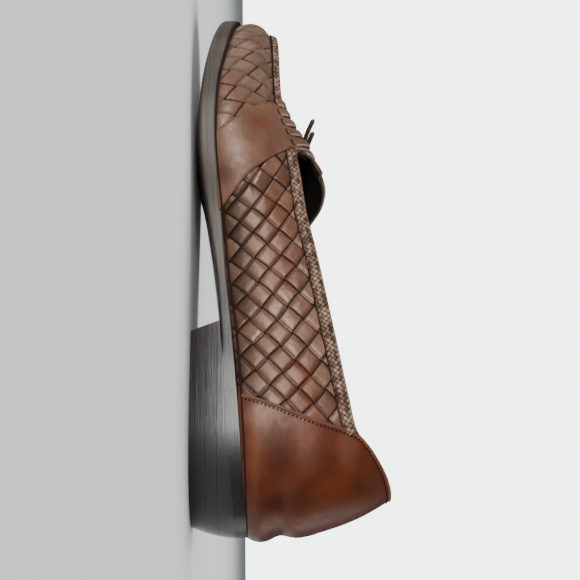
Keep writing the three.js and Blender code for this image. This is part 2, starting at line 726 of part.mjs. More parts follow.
function saddleStrap() {
  const over = (column, turn) => (turn <= 1 ? [column, turn] : [COLUMNS - column, 2 - turn]);
  const sheet = thickPatch(span(21, 40, 8), span(0, 2, 24), over, OVERLAY_LOW, OVERLAY_HIGH);
  const strap = sheet.intersect(strapPrism(0)).subtract(collarRoom()).subtract(roomBelow());
  const wraps = ['medial', 'lateral'].flatMap(laceWraps).map((wrap) => wrap.intersect(strapPrism(0)));
  return wraps.reduce((whole, wrap) => whole.add(wrap), strap);
}

function heelCounter() {
  const sheet = thickPatch(span(-16, 16, 26), span(0, 0.6, 8), (c, r) => [c, r], OVERLAY_LOW, OVERLAY_HIGH);
  return sheet.intersect(counterPrism(0)).subtract(collarRoom()).subtract(roomBelow());
}

// Column and height on the last that the side view shows at x, z
function sidePlace(side, x, z) {
  let low = 0.02;
  let high = 0.98;
  for (let k = 0; k < 24; k += 1) {
    const middle = (low + high) / 2;
    if (lastPoint(columnAt(side, middle, x), middle).z < z) low = middle;
    else high = middle;
  }
  return [columnAt(side, low, x), low];
}

// Plaited edge of the collar on one side, square below the topline, ending against strap and counter
function collarBraid(side) {
  const places = [...span(-114, 20, 17), ...span(25, BRAID_FRONT[side], 10)].map((x) => {
    const slope = topline(x + 0.5, side) - topline(x - 0.5, side);
    const drop = BRAID_DROP / Math.hypot(1, slope);
    return sidePlace(side, x + drop * slope, topline(x, side) - drop);
  });
  const stations = places.filter((at) => {
    const point = lastPoint(...at);
    const front = strapEdge(point.z, 'back') + BRAID_OVERRUN;
    return point.x < front && point.x > counterEdge(point.z) - BRAID_OVERRUN;
  });
  const band = sweep(surfacePath(stations, 0), () => bandSection(BRAID_WIDTH, BRAID_LOW, BRAID_HIGH));
  return band.subtract(strapPrism(FIT)).subtract(counterPrism(FIT));
}

// Raised ridge round the toe plug, ending against both sides of the strap
function apronSeam() {
  const start = columnAt('medial', SEAM_HEIGHT, WRAP_FRONT);
  const end = columnAt('lateral', SEAM_HEIGHT, WRAP_FRONT);
  const stations = span(start, end, 32).map((column) => [column, SEAM_HEIGHT]);
  const band = sweep(surfacePath(stations, 0), () => bandSection(SEAM_WIDTH, BRAID_LOW, BRAID_HIGH));
  return band.subtract(strapPrism(FIT));
}

// Hang of a tassel: stations at even steps down the outer wall, from the knot to the fringe's tips
const HANG_STEP = 0.75;

function hangStations(x) {
  const stations = [];
  let gone = HANG_STEP;
  let before = null;
  for (let height = KNOT.height; height > 0.1; height -= 0.002) {
    const swing = THREE.MathUtils.smoothstep(KNOT.height - height, 0, 0.16);
    const column = columnAt('lateral', height, KNOT.x + (x - KNOT.x) * swing);
    const point = lastPoint(column, height);
    if (before) gone += point.distanceTo(before);
    before = point;
    if (gone >= HANG_STEP) {
      stations.push([column, height]);
      gone -= HANG_STEP;
    }
  }
  return stations.slice(0, 1 + Math.round((LACE_RUN + HEAD_LENGTH + FRINGE_LENGTH) / HANG_STEP));
}

// Clearance under a tassel: over the lace wraps first, then down onto the strap
const overWraps = OVERLAY_HIGH + WRAP_RISE + FIT + 0.2;
const overStrap = OVERLAY_HIGH + FIT + 0.2;

// Stations between two distances from the knot, thinned to a few even steps
function hangPart(path, from, to, steps) {
  return span(from, to, steps).map((distance) => path[Math.round(distance / HANG_STEP)]);
}

const stripSection = (width) => [[-0.5, -0.5], [0.5, -0.5], [0.5, 0.5], [-0.5, 0.5]].map(
  ([a, o]) => [a * width, o * STRIP_THICK],
);

// The largest body of a fused solid, without the pockets its pieces close off inside
const outerBody = (solid) => solid.decompose().reduce((a, b) => (b.volume() > a.volume() ? b : a));

const shifted = (section, across, out) => section.map(([a, o]) => [a + across, o + out]);

function tassel(x) {
  const path = surfacePath(hangStations(x), 0);
  const headEnd = LACE_RUN + HEAD_LENGTH;
  const lace = sweep(hangPart(path, KNOT.radius + 0.4, LACE_RUN + 2, 3), () => (
    shifted(ovalSection(LACE, LACE, 6), 0, overWraps + HEAD_RADIUS * 0.8)
  ));
  const barrel = [0.7, 1, 1.06, 1, 0.84];
  const head = sweep(hangPart(path, LACE_RUN, headEnd, barrel.length - 1), (k) => {
    const width = 2 * HEAD_RADIUS * barrel[k];
    return shifted(ovalSection(width, width, 10), 0, overWraps + HEAD_RADIUS);
  });
  const fringeFrom = headEnd - 2.5;
  const out = (run, layer) => {
    const settle = THREE.MathUtils.smoothstep(run, 0, 0.7);
    return THREE.MathUtils.lerp(overWraps + HEAD_RADIUS, overStrap + FRINGE_THICK / 2, settle) + layer;
  };
  const spread = (run) => THREE.MathUtils.lerp(HEAD_RADIUS * 0.75, FRINGE_SPREAD, run);
  const coreShare = 0.8;
  const core = sweep(hangPart(path, fringeFrom, headEnd + FRINGE_LENGTH * coreShare, 4), (k) => {
    const run = (k / 4) * coreShare;
    return shifted(ovalSection(2 * spread(run), FRINGE_THICK, 8), 0, out(run, 0));
  });
  const strips = span(-1, 1, STRIPS - 1).map((share, order) => {
    const reach = FRINGE_LENGTH - (order % 2) * STRIP_WIDTH;
    return sweep(hangPart(path, fringeFrom, headEnd + reach, 4), (k) => {
      const run = k / 4;
      const width = STRIP_WIDTH * THREE.MathUtils.lerp(0.5, 1, run);
      const lift = (FRINGE_THICK / 2) * Math.sqrt(1 - (share * 0.8) ** 2);
      return shifted(stripSection(width), share * 0.8 * spread(run), out(run, lift));
    });
  });
  const fused = [lace, core, ...strips].reduce((whole, piece) => whole.add(piece), head);
  return outerBody(fused);
}

function tasselKnot() {
  const column = columnAt('lateral', KNOT.height, KNOT.x);
  const middle = shell(column, KNOT.height, overWraps + HEAD_RADIUS * 0.8 - KNOT_SEAT);
  const ball = new THREE.SphereGeometry(KNOT.radius, 10, 7);
  ball.scale(1.3, 0.95, 0.9);
  ball.translate(middle.x, middle.y, middle.z);
  const round = new THREE.Shape(ovalSection(LACE, LACE, 6).map(([x, y]) => new THREE.Vector2(x, y)));
  const ends = LACE_ENDS.map((points) => {
    const route = points.map(({ x, y, z }) => new THREE.Vector3(x, y, z).add(middle));
    const extrudePath = new THREE.CatmullRomCurve3([middle, ...route]);
    return solidOf(new THREE.ExtrudeGeometry(round, { steps: 5, bevelEnabled: false, extrudePath }));
  });
  return ends.reduce((whole, end) => whole.add(end), solidOf(ball));
}

const leather = (color, roughness) => new THREE.MeshStandardMaterial({ color, roughness, metalness: 0 });

const loafer = new THREE.Group();
loafer.name = 'tassel_loafer';
loafer.position.set(FRAME_SHIFT.x, FRAME_SHIFT.y, 0);

function addPiece(name, geometry, material) {
  const mesh = new THREE.Mesh(geometry, material);
  mesh.name = name;
  mesh.geometry.computeVertexNormals();
  loafer.add(mesh);
}

const LIFTS = [
  { name: 'heel_top_lift', low: 0, high: TOP_LIFT },
  { name: 'heel_lift_lower', low: TOP_LIFT + LIFT_GAP, high: TOP_LIFT + LIFT },
  { name: 'heel_lift_upper', low: TOP_LIFT + LIFT + LIFT_GAP, high: TOP_LIFT + 2 * LIFT },
  { name: 'heel_wedge', low: TOP_LIFT + 2 * LIFT + LIFT_GAP, high: HEEL_SEAT },
];

addPiece('outsole', outsoleLayer(), leather(0x4a2f22, 0.6));
addPiece('welt', weltLayer(), leather(0x5a4435, 0.45));
LIFTS.forEach(({ name, low, high }) => addPiece(name, heelPiece(low, high), leather(0x231614, 0.4)));
addPiece('insole', insoleLayer(), leather(0x1c1512, 0.7));
addPiece('upper', geometryOf(upperWall()), leather(0x7a5644, 0.5));
addPiece('saddle_strap', geometryOf(saddleStrap()), leather(0x6e4630, 0.4));
addPiece('heel_counter', geometryOf(heelCounter()), leather(0x7a452a, 0.35));
addPiece('collar_braid_medial', geometryOf(collarBraid('medial')), leather(0x5f4030, 0.55));
addPiece('collar_braid_lateral', geometryOf(collarBraid('lateral')), leather(0x5f4030, 0.55));
addPiece('apron_seam', geometryOf(apronSeam()), leather(0x5f4030, 0.55));
addPiece('tassel_knot', geometryOf(tasselKnot()), leather(0x241712, 0.5));
TASSELS.forEach(({ name, x }) => addPiece(name, geometryOf(tassel(x)), leather(0x241712, 0.5)));

export default loafer;
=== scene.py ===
# %% [markdown]
# # A woven tassel loafer in Blender
# The solids of this shoe come from a CAD model, and they are the frame that everything here has to fit.
# They are loaded first and never moved. Each piece of leather is then made again with its real surface, so
# that it can be cut, woven, plaited and polished as the shoemaker did it.

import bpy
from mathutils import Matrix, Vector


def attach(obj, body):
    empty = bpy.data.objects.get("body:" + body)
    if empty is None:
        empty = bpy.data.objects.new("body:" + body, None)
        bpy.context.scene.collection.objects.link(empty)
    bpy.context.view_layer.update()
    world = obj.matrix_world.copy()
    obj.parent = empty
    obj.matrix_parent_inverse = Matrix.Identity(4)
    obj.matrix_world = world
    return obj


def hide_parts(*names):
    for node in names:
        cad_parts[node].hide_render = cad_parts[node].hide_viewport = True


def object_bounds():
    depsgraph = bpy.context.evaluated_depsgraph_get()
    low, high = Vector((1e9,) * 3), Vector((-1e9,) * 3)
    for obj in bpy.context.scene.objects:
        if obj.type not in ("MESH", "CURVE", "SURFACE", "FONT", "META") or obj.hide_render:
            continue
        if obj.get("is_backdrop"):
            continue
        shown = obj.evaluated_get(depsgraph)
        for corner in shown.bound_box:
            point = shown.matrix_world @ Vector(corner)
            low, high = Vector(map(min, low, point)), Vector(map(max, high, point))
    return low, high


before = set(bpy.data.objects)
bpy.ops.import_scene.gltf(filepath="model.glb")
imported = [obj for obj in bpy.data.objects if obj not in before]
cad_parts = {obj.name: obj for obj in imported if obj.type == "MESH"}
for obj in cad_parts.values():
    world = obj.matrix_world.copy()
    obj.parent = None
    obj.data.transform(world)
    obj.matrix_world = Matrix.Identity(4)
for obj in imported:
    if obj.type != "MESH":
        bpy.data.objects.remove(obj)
cad_low, cad_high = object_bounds()
print(len(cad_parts), "solids, box in metres:", [round(float(c), 4) for c in (*cad_low, *cad_high)])

# %% [markdown]
# A shoe is built on a last, a foot-shaped block. Nearly every piece of the upper lies on it, so the last is
# made first, as a rule that gives a point for a column round the shoe and a height up its wall. A sculpted
# mesh would also do, but a rule lets strap, braid and stitches be placed in the shoe's own sizes. Column 0
# is the back of the heel, column 48 the tip of the toe, and the inner side of the foot comes first.

# %% Tables of the last, in millimetres
import math

import bmesh
import bpy
import numpy as np
from mathutils import Matrix, Vector

COLUMNS = 96
HALF_LOOP = 48
# Gap between sole and upper, and the way from the last's own middle to the middle of the part's box
FIT = 0.3
SHIFT = np.array([1.23, 0.6, 0.0])
HEEL_BACK, TOE_TIP = -145, 144.2
RIDGE_BACK, RIDGE_FRONT = -93, 124

# Feather line, where upper and sole meet: x, middle, half width
FEATHER = [
    (HEEL_BACK, 0, 0), (-140, 0, 14.5), (-127, 0, 25.5), (-105, 0, 31.3), (-75, -0.7, 31.8),
    (-45, -2.2, 31.4), (-15, -3.8, 32.8), (15, -3.5, 37.8), (40, -1.6, 44.0), (62, 0, 47.2),
    (85, 1.4, 45.4), (108, 2.6, 38.0), (126.5, 3.2, 26.6), (138.5, 3.2, 14.4), (TOE_TIP, 3.2, 0),
]
# Sole: x, top, thickness inside and outside, hang of the middle, welt, reach inside and outside
SOLE = [
    (-150, 28.8, 7.0, 7.0, 0, 2.6, 4.2, 4.2), (-120, 26.6, 6.8, 6.8, 0, 2.6, 2.4, 2.4),
    (-85, 24.0, 6.5, 6.6, 0.1, 2.5, 1.6, 1.8), (-50, 21.0, 6.2, 6.6, 0.2, 2.3, 1.2, 2.0),
    (-20, 17.8, 5.2, 6.4, 0.2, 2.2, 0.8, 2.4), (10, 15.6, 7.0, 7.6, 0.2, 3.0, 1.6, 3.0),
    (38, 13.2, 8.4, 8.8, 1.0, 4.0, 3.0, 3.3), (58, 12.5, 8.3, 8.9, 4.3, 4.2, 3.4, 3.5),
    (82, 13.7, 8.3, 8.9, 5.4, 4.2, 3.5, 3.5), (100, 16.6, 8.8, 8.8, 2.4, 4.2, 3.6, 3.6),
    (125, 20.8, 8.6, 8.6, 0.6, 4.2, 3.8, 3.8), (150, 26.0, 8.0, 8.0, 0, 4.0, 4.0, 4.0),
]
# Ridge over the last: x, y, z
RIDGE = [
    (RIDGE_BACK, 0, 130), (-50, 0, 119), (-10, -2, 106), (20, -7, 94), (40, -9, 81.6),
    (50, -6, 73.6), (58, -2, 67.6), (66, 0, 60.5), (75, 1, 53.8), (85, 1.6, 48.2),
    (95, 2.2, 46.4), (110, 2.8, 45.6), (RIDGE_FRONT, 3.2, 44.6),
]
# Wall section: x, squareness, bulge inside and outside
SECTION = [
    (HEEL_BACK, 1.6, 5.3, 5.3), (-110, 1.8, 3.0, 3.0), (-60, 2.1, 3.6, 2.6), (-20, 2.1, 5.0, 2.6),
    (20, 2.0, 4.0, 2.4), (60, 1.95, 2.0, 2.0), (95, 2.4, 1.2, 1.2), (125, 2.7, 1.8, 1.8),
    (TOE_TIP, 2.9, 2.8, 2.8),
]


def smooth_curve(rows, column):
    """Smooth curve through one column of a table, read at any place along it."""
    table = np.array(rows, float)
    at, value = table[:, 0], table[:, column]
    slope = np.empty_like(value)
    slope[1:-1] = (value[2:] - value[:-2]) / (at[2:] - at[:-2])
    slope[0] = (value[1] - value[0]) / (at[1] - at[0])
    slope[-1] = (value[-1] - value[-2]) / (at[-1] - at[-2])

    def read(place):
        k = np.clip(np.searchsorted(at, place) - 1, 0, len(at) - 2)
        span = at[k + 1] - at[k]
        u = np.clip((place - at[k]) / span, 0, 1)
        rise = (2 * u - 3) * u * u + 1
        start = ((u - 2) * u + 1) * u * span
        end = (u - 1) * u * u * span
        return value[k] * rise + value[k + 1] * (1 - rise) + slope[k] * start + slope[k + 1] * end

    return read


sole_top, edge_inside, edge_outside, hang, welt_thick, reach_inside, reach_outside = (
    smooth_curve(SOLE, k) for k in range(1, 8)
)
ridge_y, ridge_z = (smooth_curve(RIDGE, k) for k in (1, 2))
squareness, bulge_inside, bulge_outside = (smooth_curve(SECTION, k) for k in (1, 2, 3))
BALL_X = 58.0
print("sole top at the ball:", round(float(sole_top(BALL_X)), 2), "mm")

# %% [markdown]
# The feather line is the edge round the foot of the last, where upper and sole meet on the real shoe. It
# could be drawn as a curve object, but strap and weave are laid out along it in millimetres. So a smooth
# closed curve is worked out through the table, split into an inner and an outer half, and read by the way
# gone along it.

# %% The feather line
CURVE_STEPS = 40


def run_along(points):
    """Way gone from the first point of a path to each of its points."""
    return np.concatenate([[0], np.cumsum(np.linalg.norm(np.diff(points, axis=0), axis=1))])


def feather_halves():
    """Inner and outer half of the feather line: share of its length, points, whole length."""
    inner = [np.array([x, middle + half]) for x, middle, half in FEATHER]
    outer = [np.array([x, middle - half]) for x, middle, half in FEATHER[1:-1]]
    loop = inner + outer[::-1]
    line = []
    for k in range(len(loop)):
        a, b, c, d = (loop[(k + j) % len(loop)] for j in (-1, 0, 1, 2))
        before, here, after = (np.linalg.norm(q - p) ** 0.5 for p, q in ((a, b), (b, c), (c, d)))
        start = ((b - a) / before - (c - a) / (before + here) + (c - b) / here) * here
        end = ((c - b) / here - (d - b) / (here + after) + (d - c) / after) * here
        for t in np.arange(CURVE_STEPS) / CURVE_STEPS:
            square = (3 * (c - b) - 2 * start - end) * t * t
            line.append(b + start * t + square + (2 * (b - c) + start + end) * t**3)
    line = np.array(line)
    toe = (len(FEATHER) - 1) * CURVE_STEPS
    halves = []
    for half in (line[: toe + 1], np.vstack([line[:1], line[: toe - 1 : -1]])):
        gone = run_along(half)
        halves.append((gone / gone[-1], half, gone[-1]))
    return halves


INNER_HALF, OUTER_HALF = feather_halves()
COLUMN_WIDTH = INNER_HALF[2] / HALF_LOOP


def where(column):
    """Whether a column is on the inner side, and its share of the way from heel to toe."""
    turn = np.mod(column, COLUMNS)
    inside = turn <= HALF_LOOP
    return inside, np.where(inside, turn, COLUMNS - turn) / HALF_LOOP


def on_side(inside, column):
    """Column counted from the heel, moved to its side of the shoe."""
    return np.where(inside, column, COLUMNS - column)


def feather(column):
    """Plan of the feather line at a column."""
    inside, share = where(column)
    sides = [[np.interp(share, half[0], half[1][:, k]) for k in (0, 1)] for half in (INNER_HALF, OUTER_HALF)]
    return np.stack([np.where(inside, sides[0][k], sides[1][k]) for k in (0, 1)], -1)


def outward(column):
    """Direction out of the shoe in plan."""
    step = feather(column + 0.1) - feather(column - 0.1)
    out = np.stack([-step[..., 1], step[..., 0]], -1)
    return out / np.linalg.norm(out, axis=-1, keepdims=True)


print("feather line:", round(INNER_HALF[2] + OUTER_HALF[2], 1), "mm round")

# %% [markdown]
# The last's wall rises from the feather line to a ridge along the top. Its section is squarer at the toe,
# and it bulges a little where a foot does. Sections could be lofted from drawn curves, but then the surface
# would only be known at its corners. One formula for a point and one for the way out of the wall serve
# every later piece.

# %% The last
RIDGE_ARCH = 10
BULGE_LOW = 0.6


def ridge_point(share):
    """Point of the ridge at a share of the way from heel to toe."""
    halves = [np.interp(share, half[0], half[1][:, 0]) for half in (INNER_HALF, OUTER_HALF)]
    run = (sum(halves) / 2 - HEEL_BACK) / (TOE_TIP - HEEL_BACK)
    x = RIDGE_BACK + (RIDGE_FRONT - RIDGE_BACK) * run + RIDGE_ARCH * np.sin(np.pi * share)
    return np.stack([x, ridge_y(x), ridge_z(x)], -1)


def last_point(column, height):
    """Point of the last at a column and a height, from 0 on the feather line to 1 on the ridge."""
    column, height = np.broadcast_arrays(np.asarray(column, float), np.asarray(height, float))
    inside, share = where(column)
    ridge, plan = ridge_point(share), feather(column)
    x = plan[..., 0]
    foot = sole_top(x) + FIT
    power = 2 / squareness(x)
    h = np.clip(height, 0, 1)
    out = np.clip(np.cos(h * np.pi / 2), 0, 1) ** power
    up = np.sin(h * np.pi / 2) ** power
    bulge = np.where(inside, bulge_inside(x), bulge_outside(x)) * np.sin(np.pi * h**BULGE_LOW)
    level = ridge[..., :2] + (plan - ridge[..., :2]) * out[..., None] + outward(column) * bulge[..., None]
    return np.concatenate([level, (foot + (ridge[..., 2] - foot) * up)[..., None]], -1)


def last_normal(column, height):
    """Direction out of the wall; on the ridge it is taken from the inner side, clear of heel and toe."""
    column, height = np.broadcast_arrays(np.asarray(column, float), np.asarray(height, float))
    beside = np.where(height >= 1, np.clip(where(column)[1] * HALF_LOOP, 0.5, HALF_LOOP - 0.5), column)
    across = last_point(beside + 0.2, height) - last_point(beside - 0.2, height)
    low, high = np.maximum(0, height - 0.01), np.minimum(1, height + 0.01)
    normal = np.cross(last_point(beside, high) - last_point(beside, low), across)
    return normal / np.linalg.norm(normal, axis=-1, keepdims=True)


def shell(column, height, offset):
    """Point at an offset outside the last."""
    return last_point(column, height) + last_normal(column, height) * np.asarray(offset, float)[..., None]


print("instep of the last:", last_point(30.0, 1.0).round(1).tolist())

# %% [markdown]
# A shoemaker measures along the leather and not through the air. The way up the wall could be added up anew
# for every corner of every sheet, which would be slow. So it is added up once, on a grid of columns and
# heights, and read between the grid's entries. The way along the sole is simply the column times its width.

# %% Distances on the last
WALL_ROWS = 100
WALL_COLUMNS = np.linspace(0, COLUMNS, 2 * COLUMNS + 1)
WALL_HEIGHTS = np.linspace(0, 1, WALL_ROWS + 1)
JUST_INSIDE = 1e-6
WALL_RUN = np.array([run_along(line) for line in last_point(WALL_COLUMNS[:, None], WALL_HEIGHTS[None, :])])


def wall_run(column, height):
    """Distance up the wall from the feather line, in millimetres."""
    c = np.clip(np.mod(column, COLUMNS) * 2, 0, 2 * COLUMNS - JUST_INSIDE)
    h = np.clip(np.asarray(height, float) * WALL_ROWS, 0, WALL_ROWS - JUST_INSIDE)
    i, j = c.astype(int), h.astype(int)
    s, t = c - i, h - j
    low = WALL_RUN[i, j] * (1 - t) + WALL_RUN[i, j + 1] * t
    return low * (1 - s) + (WALL_RUN[i + 1, j] * (1 - t) + WALL_RUN[i + 1, j + 1] * t) * s


def heel_distance(column):
    """Distance along the feather line from the back of the heel, less than nothing on the outer side."""
    turn = np.mod(np.asarray(column, float) + HALF_LOOP, COLUMNS) - HALF_LOOP
    return turn * COLUMN_WIDTH


print("wall at the back of the heel:", round(float(WALL_RUN[0, -1]), 1), "mm up to the ridge")

# %% [markdown]
# The camera comes next. It stands beside the inner side of the shoe, close above the floor, and is rolled
# by a quarter turn, so the toe points up in the picture.
# It could be turned by hand in the viewport, but named angles can be set exactly, one at a time. The three
# directions below are where the lens looks, what is up in the picture and what is right in it.

# %% Camera
LENS_ANGLE, LENS_PITCH, LENS_ROLL, LENS_TURN = (math.radians(angle) for angle in (21.3, -3.47, 0.47, 5.74))
EYE = Vector((-0.20377, 0.4796, 0.031))
SENSOR_MM = 36
FOCAL_PIXELS, PICTURE_PIXELS = 950, 580


def turned(first, second, angle):
    """Two directions turned in their own plane, the first one towards the second."""
    ahead, aside = math.cos(angle), math.sin(angle)
    return first * ahead + second * aside, second * ahead - first * aside


look = Vector((math.sin(LENS_ANGLE), -math.cos(LENS_ANGLE), 0))
up = Vector((math.cos(LENS_ANGLE), math.sin(LENS_ANGLE), 0))
right = Vector((0, 0, 1))
look, right = turned(look, right, LENS_PITCH)
up, right = turned(up, right, LENS_ROLL)
look, right = turned(look, right, LENS_TURN)
lens = bpy.data.cameras.new("camera")
lens.sensor_width = SENSOR_MM
lens.lens = SENSOR_MM * FOCAL_PIXELS / PICTURE_PIXELS
lens.clip_start = 0.01
camera = bpy.data.objects.new("camera", lens)
camera.matrix_world = Matrix.Translation(EYE) @ Matrix((right, up, -look)).transposed().to_4x4()
bpy.context.collection.objects.link(camera)
bpy.context.scene.camera = camera
print("camera looks along", [round(c, 3) for c in look])

# %% [markdown]
# The shoe stands on a plain pale floor with matt paint, which takes a soft shadow and mirrors nothing. A
# paper sweep that bends up behind would do too, but the camera is so low that the sky makes the background
# anyway. Materials here are node trees. One small function adds a node and links it, so each material reads
# as a list.

# %% Floor
FLOOR_REACH = 3


def linear(code):
    """Linear colour of an sRGB hex code."""
    values = [int(code[k : k + 2], 16) / 255 for k in (1, 3, 5)]
    return (*(v / 12.92 if v <= 0.04045 else ((v + 0.055) / 1.055) ** 2.4 for v in values), 1.0)


def add(tree, kind, inputs=None, **settings):
    """Adds a node with its settings; an input is a value, a socket or a node's first output."""
    made = tree.nodes.new("ShaderNode" + kind)
    for key, value in settings.items():
        setattr(made, key, value)
    for key, value in (inputs or {}).items():
        if isinstance(value, bpy.types.Node):
            value = value.outputs[0]
        if isinstance(value, bpy.types.NodeSocket):
            tree.links.new(value, made.inputs[key])
        else:
            made.inputs[key].default_value = value
    return made


def new_material(name):
    """A material with an empty node tree, and that tree."""
    material = bpy.data.materials.new(name)
    material.use_nodes = True
    material.node_tree.nodes.clear()
    return material, material.node_tree


# Matt paint looks even, with clouds of shade about 250 mm wide that are hardly seen
floor_paint, tree = new_material("matt_floor_paint")
speckle = add(tree, "TexNoise", {"Vector": add(tree, "TexCoord").outputs["Object"], "Scale": 4.0})
tint = add(tree, "Mix", {0: speckle, 6: linear("#F1F2F1"), 7: linear("#F6F7F6")}, data_type="RGBA")
paint = add(tree, "BsdfPrincipled", {"Base Color": tint.outputs[2], "Roughness": 0.7})
add(tree, "OutputMaterial", {"Surface": paint})

ground = bmesh.new()
bmesh.ops.create_grid(ground, x_segments=8, y_segments=8, size=FLOOR_REACH)
floor_mesh = bpy.data.meshes.new("floor")
ground.to_mesh(floor_mesh)
ground.free()
floor_mesh.materials.append(floor_paint)
floor = bpy.data.objects.new("floor", floor_mesh)
bpy.context.collection.objects.link(floor)
floor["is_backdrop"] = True
print("floor:", 2 * FLOOR_REACH, "metres wide")

# %% [markdown]
# Polished leather shows its form by what it mirrors. The main light is large and soft and stands on the
# camera's side towards the toe, because the shoe's sheen lies on the surfaces that face that way. A broad
# one above lights the floor and the top, two faint ones behind the heel and before the toe give the sides
# that turn away an edge, and a pale sky fills the shadows. Small hard lamps would make the leather look like
# plastic. The camera alone sees the sky as bright as paper.

# %% Sky and lights
sky = bpy.data.worlds.new("pale_sky")
sky.use_nodes = True
tree = sky.node_tree
tree.nodes.clear()
fill = add(tree, "Background", {"Color": linear("#EAF1F4"), "Strength": 0.22})
paper = add(tree, "Background", {"Color": linear("#F6FBFB"), "Strength": 5.0})
seen = add(tree, "LightPath").outputs["Is Camera Ray"]
add(tree, "OutputWorld", {"Surface": add(tree, "MixShader", {0: seen, 1: fill, 2: paper})})
bpy.context.scene.world = sky

# Name, place, aim, width and height in metres, power in watts
LIGHTS = [
    ("main_light", (0.16, 1.0, 0.11), (0.0, 0.0, 0.04), 0.5, 0.26, 11.0),
    ("heel_light", (-0.95, -0.30, 0.30), (-0.1, 0.0, 0.04), 0.6, 0.6, 2.5),
    ("top_light", (0.0, -0.40, 1.0), (0.0, 0.0, 0.04), 0.9, 0.9, 12.0),
    ("toe_light", (0.85, 0.35, 0.35), (0.12, 0.0, 0.03), 0.5, 0.5, 1.4),
]
for name, at, aim, width, height, power in LIGHTS:
    lamp = bpy.data.lights.new(name, "AREA")
    lamp.shape = "RECTANGLE"
    lamp.size = width
    lamp.size_y = height
    lamp.energy = power
    turn = (Vector(at) - Vector(aim)).to_track_quat("Z", "Y").to_matrix().to_4x4()
    light = bpy.data.objects.new(name, lamp)
    light.matrix_world = Matrix.Translation(at) @ turn
    bpy.context.collection.objects.link(light)
print("lights:", len(LIGHTS))

# %% [markdown]
# Leather pieces are flat sheets before they are bent over the last. So each one starts as a flat grid, and
# every corner of the grid is moved to its place on the last. That keeps the faces even and square, which
# bends light cleanly. Each sheet also carries a pattern map in millimetres or weave strips, so that colours
# and stitches follow the leather.

# %% Sheets on the last
MERGE_METRES = 2e-6
CAP_SIDES = 24


def smoothstep(low, high, value):
    """Soft step from 0 at low to 1 at high."""
    t = np.clip((value - low) / (high - low), 0, 1)
    return t * t * (3 - 2 * t)


def add_sheet(shape, across, up, place, marks=None, flip=False):
    """Adds a grid to a bmesh and moves its corners to place(u, v), in millimetres.

    marks(u, v) gives the pattern map, and flip turns the faces over."""
    corners = bmesh.ops.create_grid(shape, x_segments=across, y_segments=up, size=1)["verts"]
    flat = np.array([corner.co[:2] for corner in corners])
    u, v = (flat[:, 0] + 1) / 2, (flat[:, 1] + 1) / 2
    for corner, point in zip(corners, (place(u, v) + SHIFT) / 1000):
        corner.co = point
    faces = list({face for corner in corners for face in corner.link_faces})
    if marks:
        layer = shape.loops.layers.uv.verify()
        spot = dict(zip(corners, np.stack(marks(u, v), -1)))
        for face in faces:
            for loop in face.loops:
                loop[layer].uv = spot[loop.vert]
    if flip:
        bmesh.ops.reverse_faces(shape, faces=faces)


def finish_piece(name, shape, material, nodes=(), closed=False, sharp=180):
    """Makes the object: seams are merged, and closed shapes get end caps and faces turned outwards."""
    bmesh.ops.remove_doubles(shape, verts=shape.verts, dist=MERGE_METRES)
    if closed:
        bmesh.ops.holes_fill(shape, edges=shape.edges, sides=CAP_SIDES)
        bmesh.ops.recalc_face_normals(shape, faces=shape.faces)
    loose = sum(edge.is_boundary for edge in shape.edges)
    mesh = bpy.data.meshes.new(name)
    shape.to_mesh(mesh)
    shape.free()
    mesh.shade_smooth()
    mesh.set_sharp_from_angle(angle=math.radians(sharp))
    mesh.materials.append(material)
    made = bpy.data.objects.new(name, mesh)
    bpy.context.collection.objects.link(made)
    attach(made, "root")
    if nodes:
        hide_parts(*nodes)
    print(name, len(mesh.polygons), "faces,", loose, "open edges")


print("corners closer than", round(MERGE_METRES * 1e6), "micrometres are merged")

# %% [markdown]
# The sole edge is waxed and rubbed until it is nearly black, and it mirrors the pale room as a soft grey. A
# dark colour with a fairly smooth wax coat gives that. The cut edge of the leather shows as fine streaks
# that run along the sole, so the streak pattern is stretched along it. Real fibres are about 0.1 mm thick,
# and they are drawn at 0.5 mm here so that they show.

# %% Sole edge leather
STREAK_LONG_MM, HEEL_GLOSS = 100 / 3, 0.28


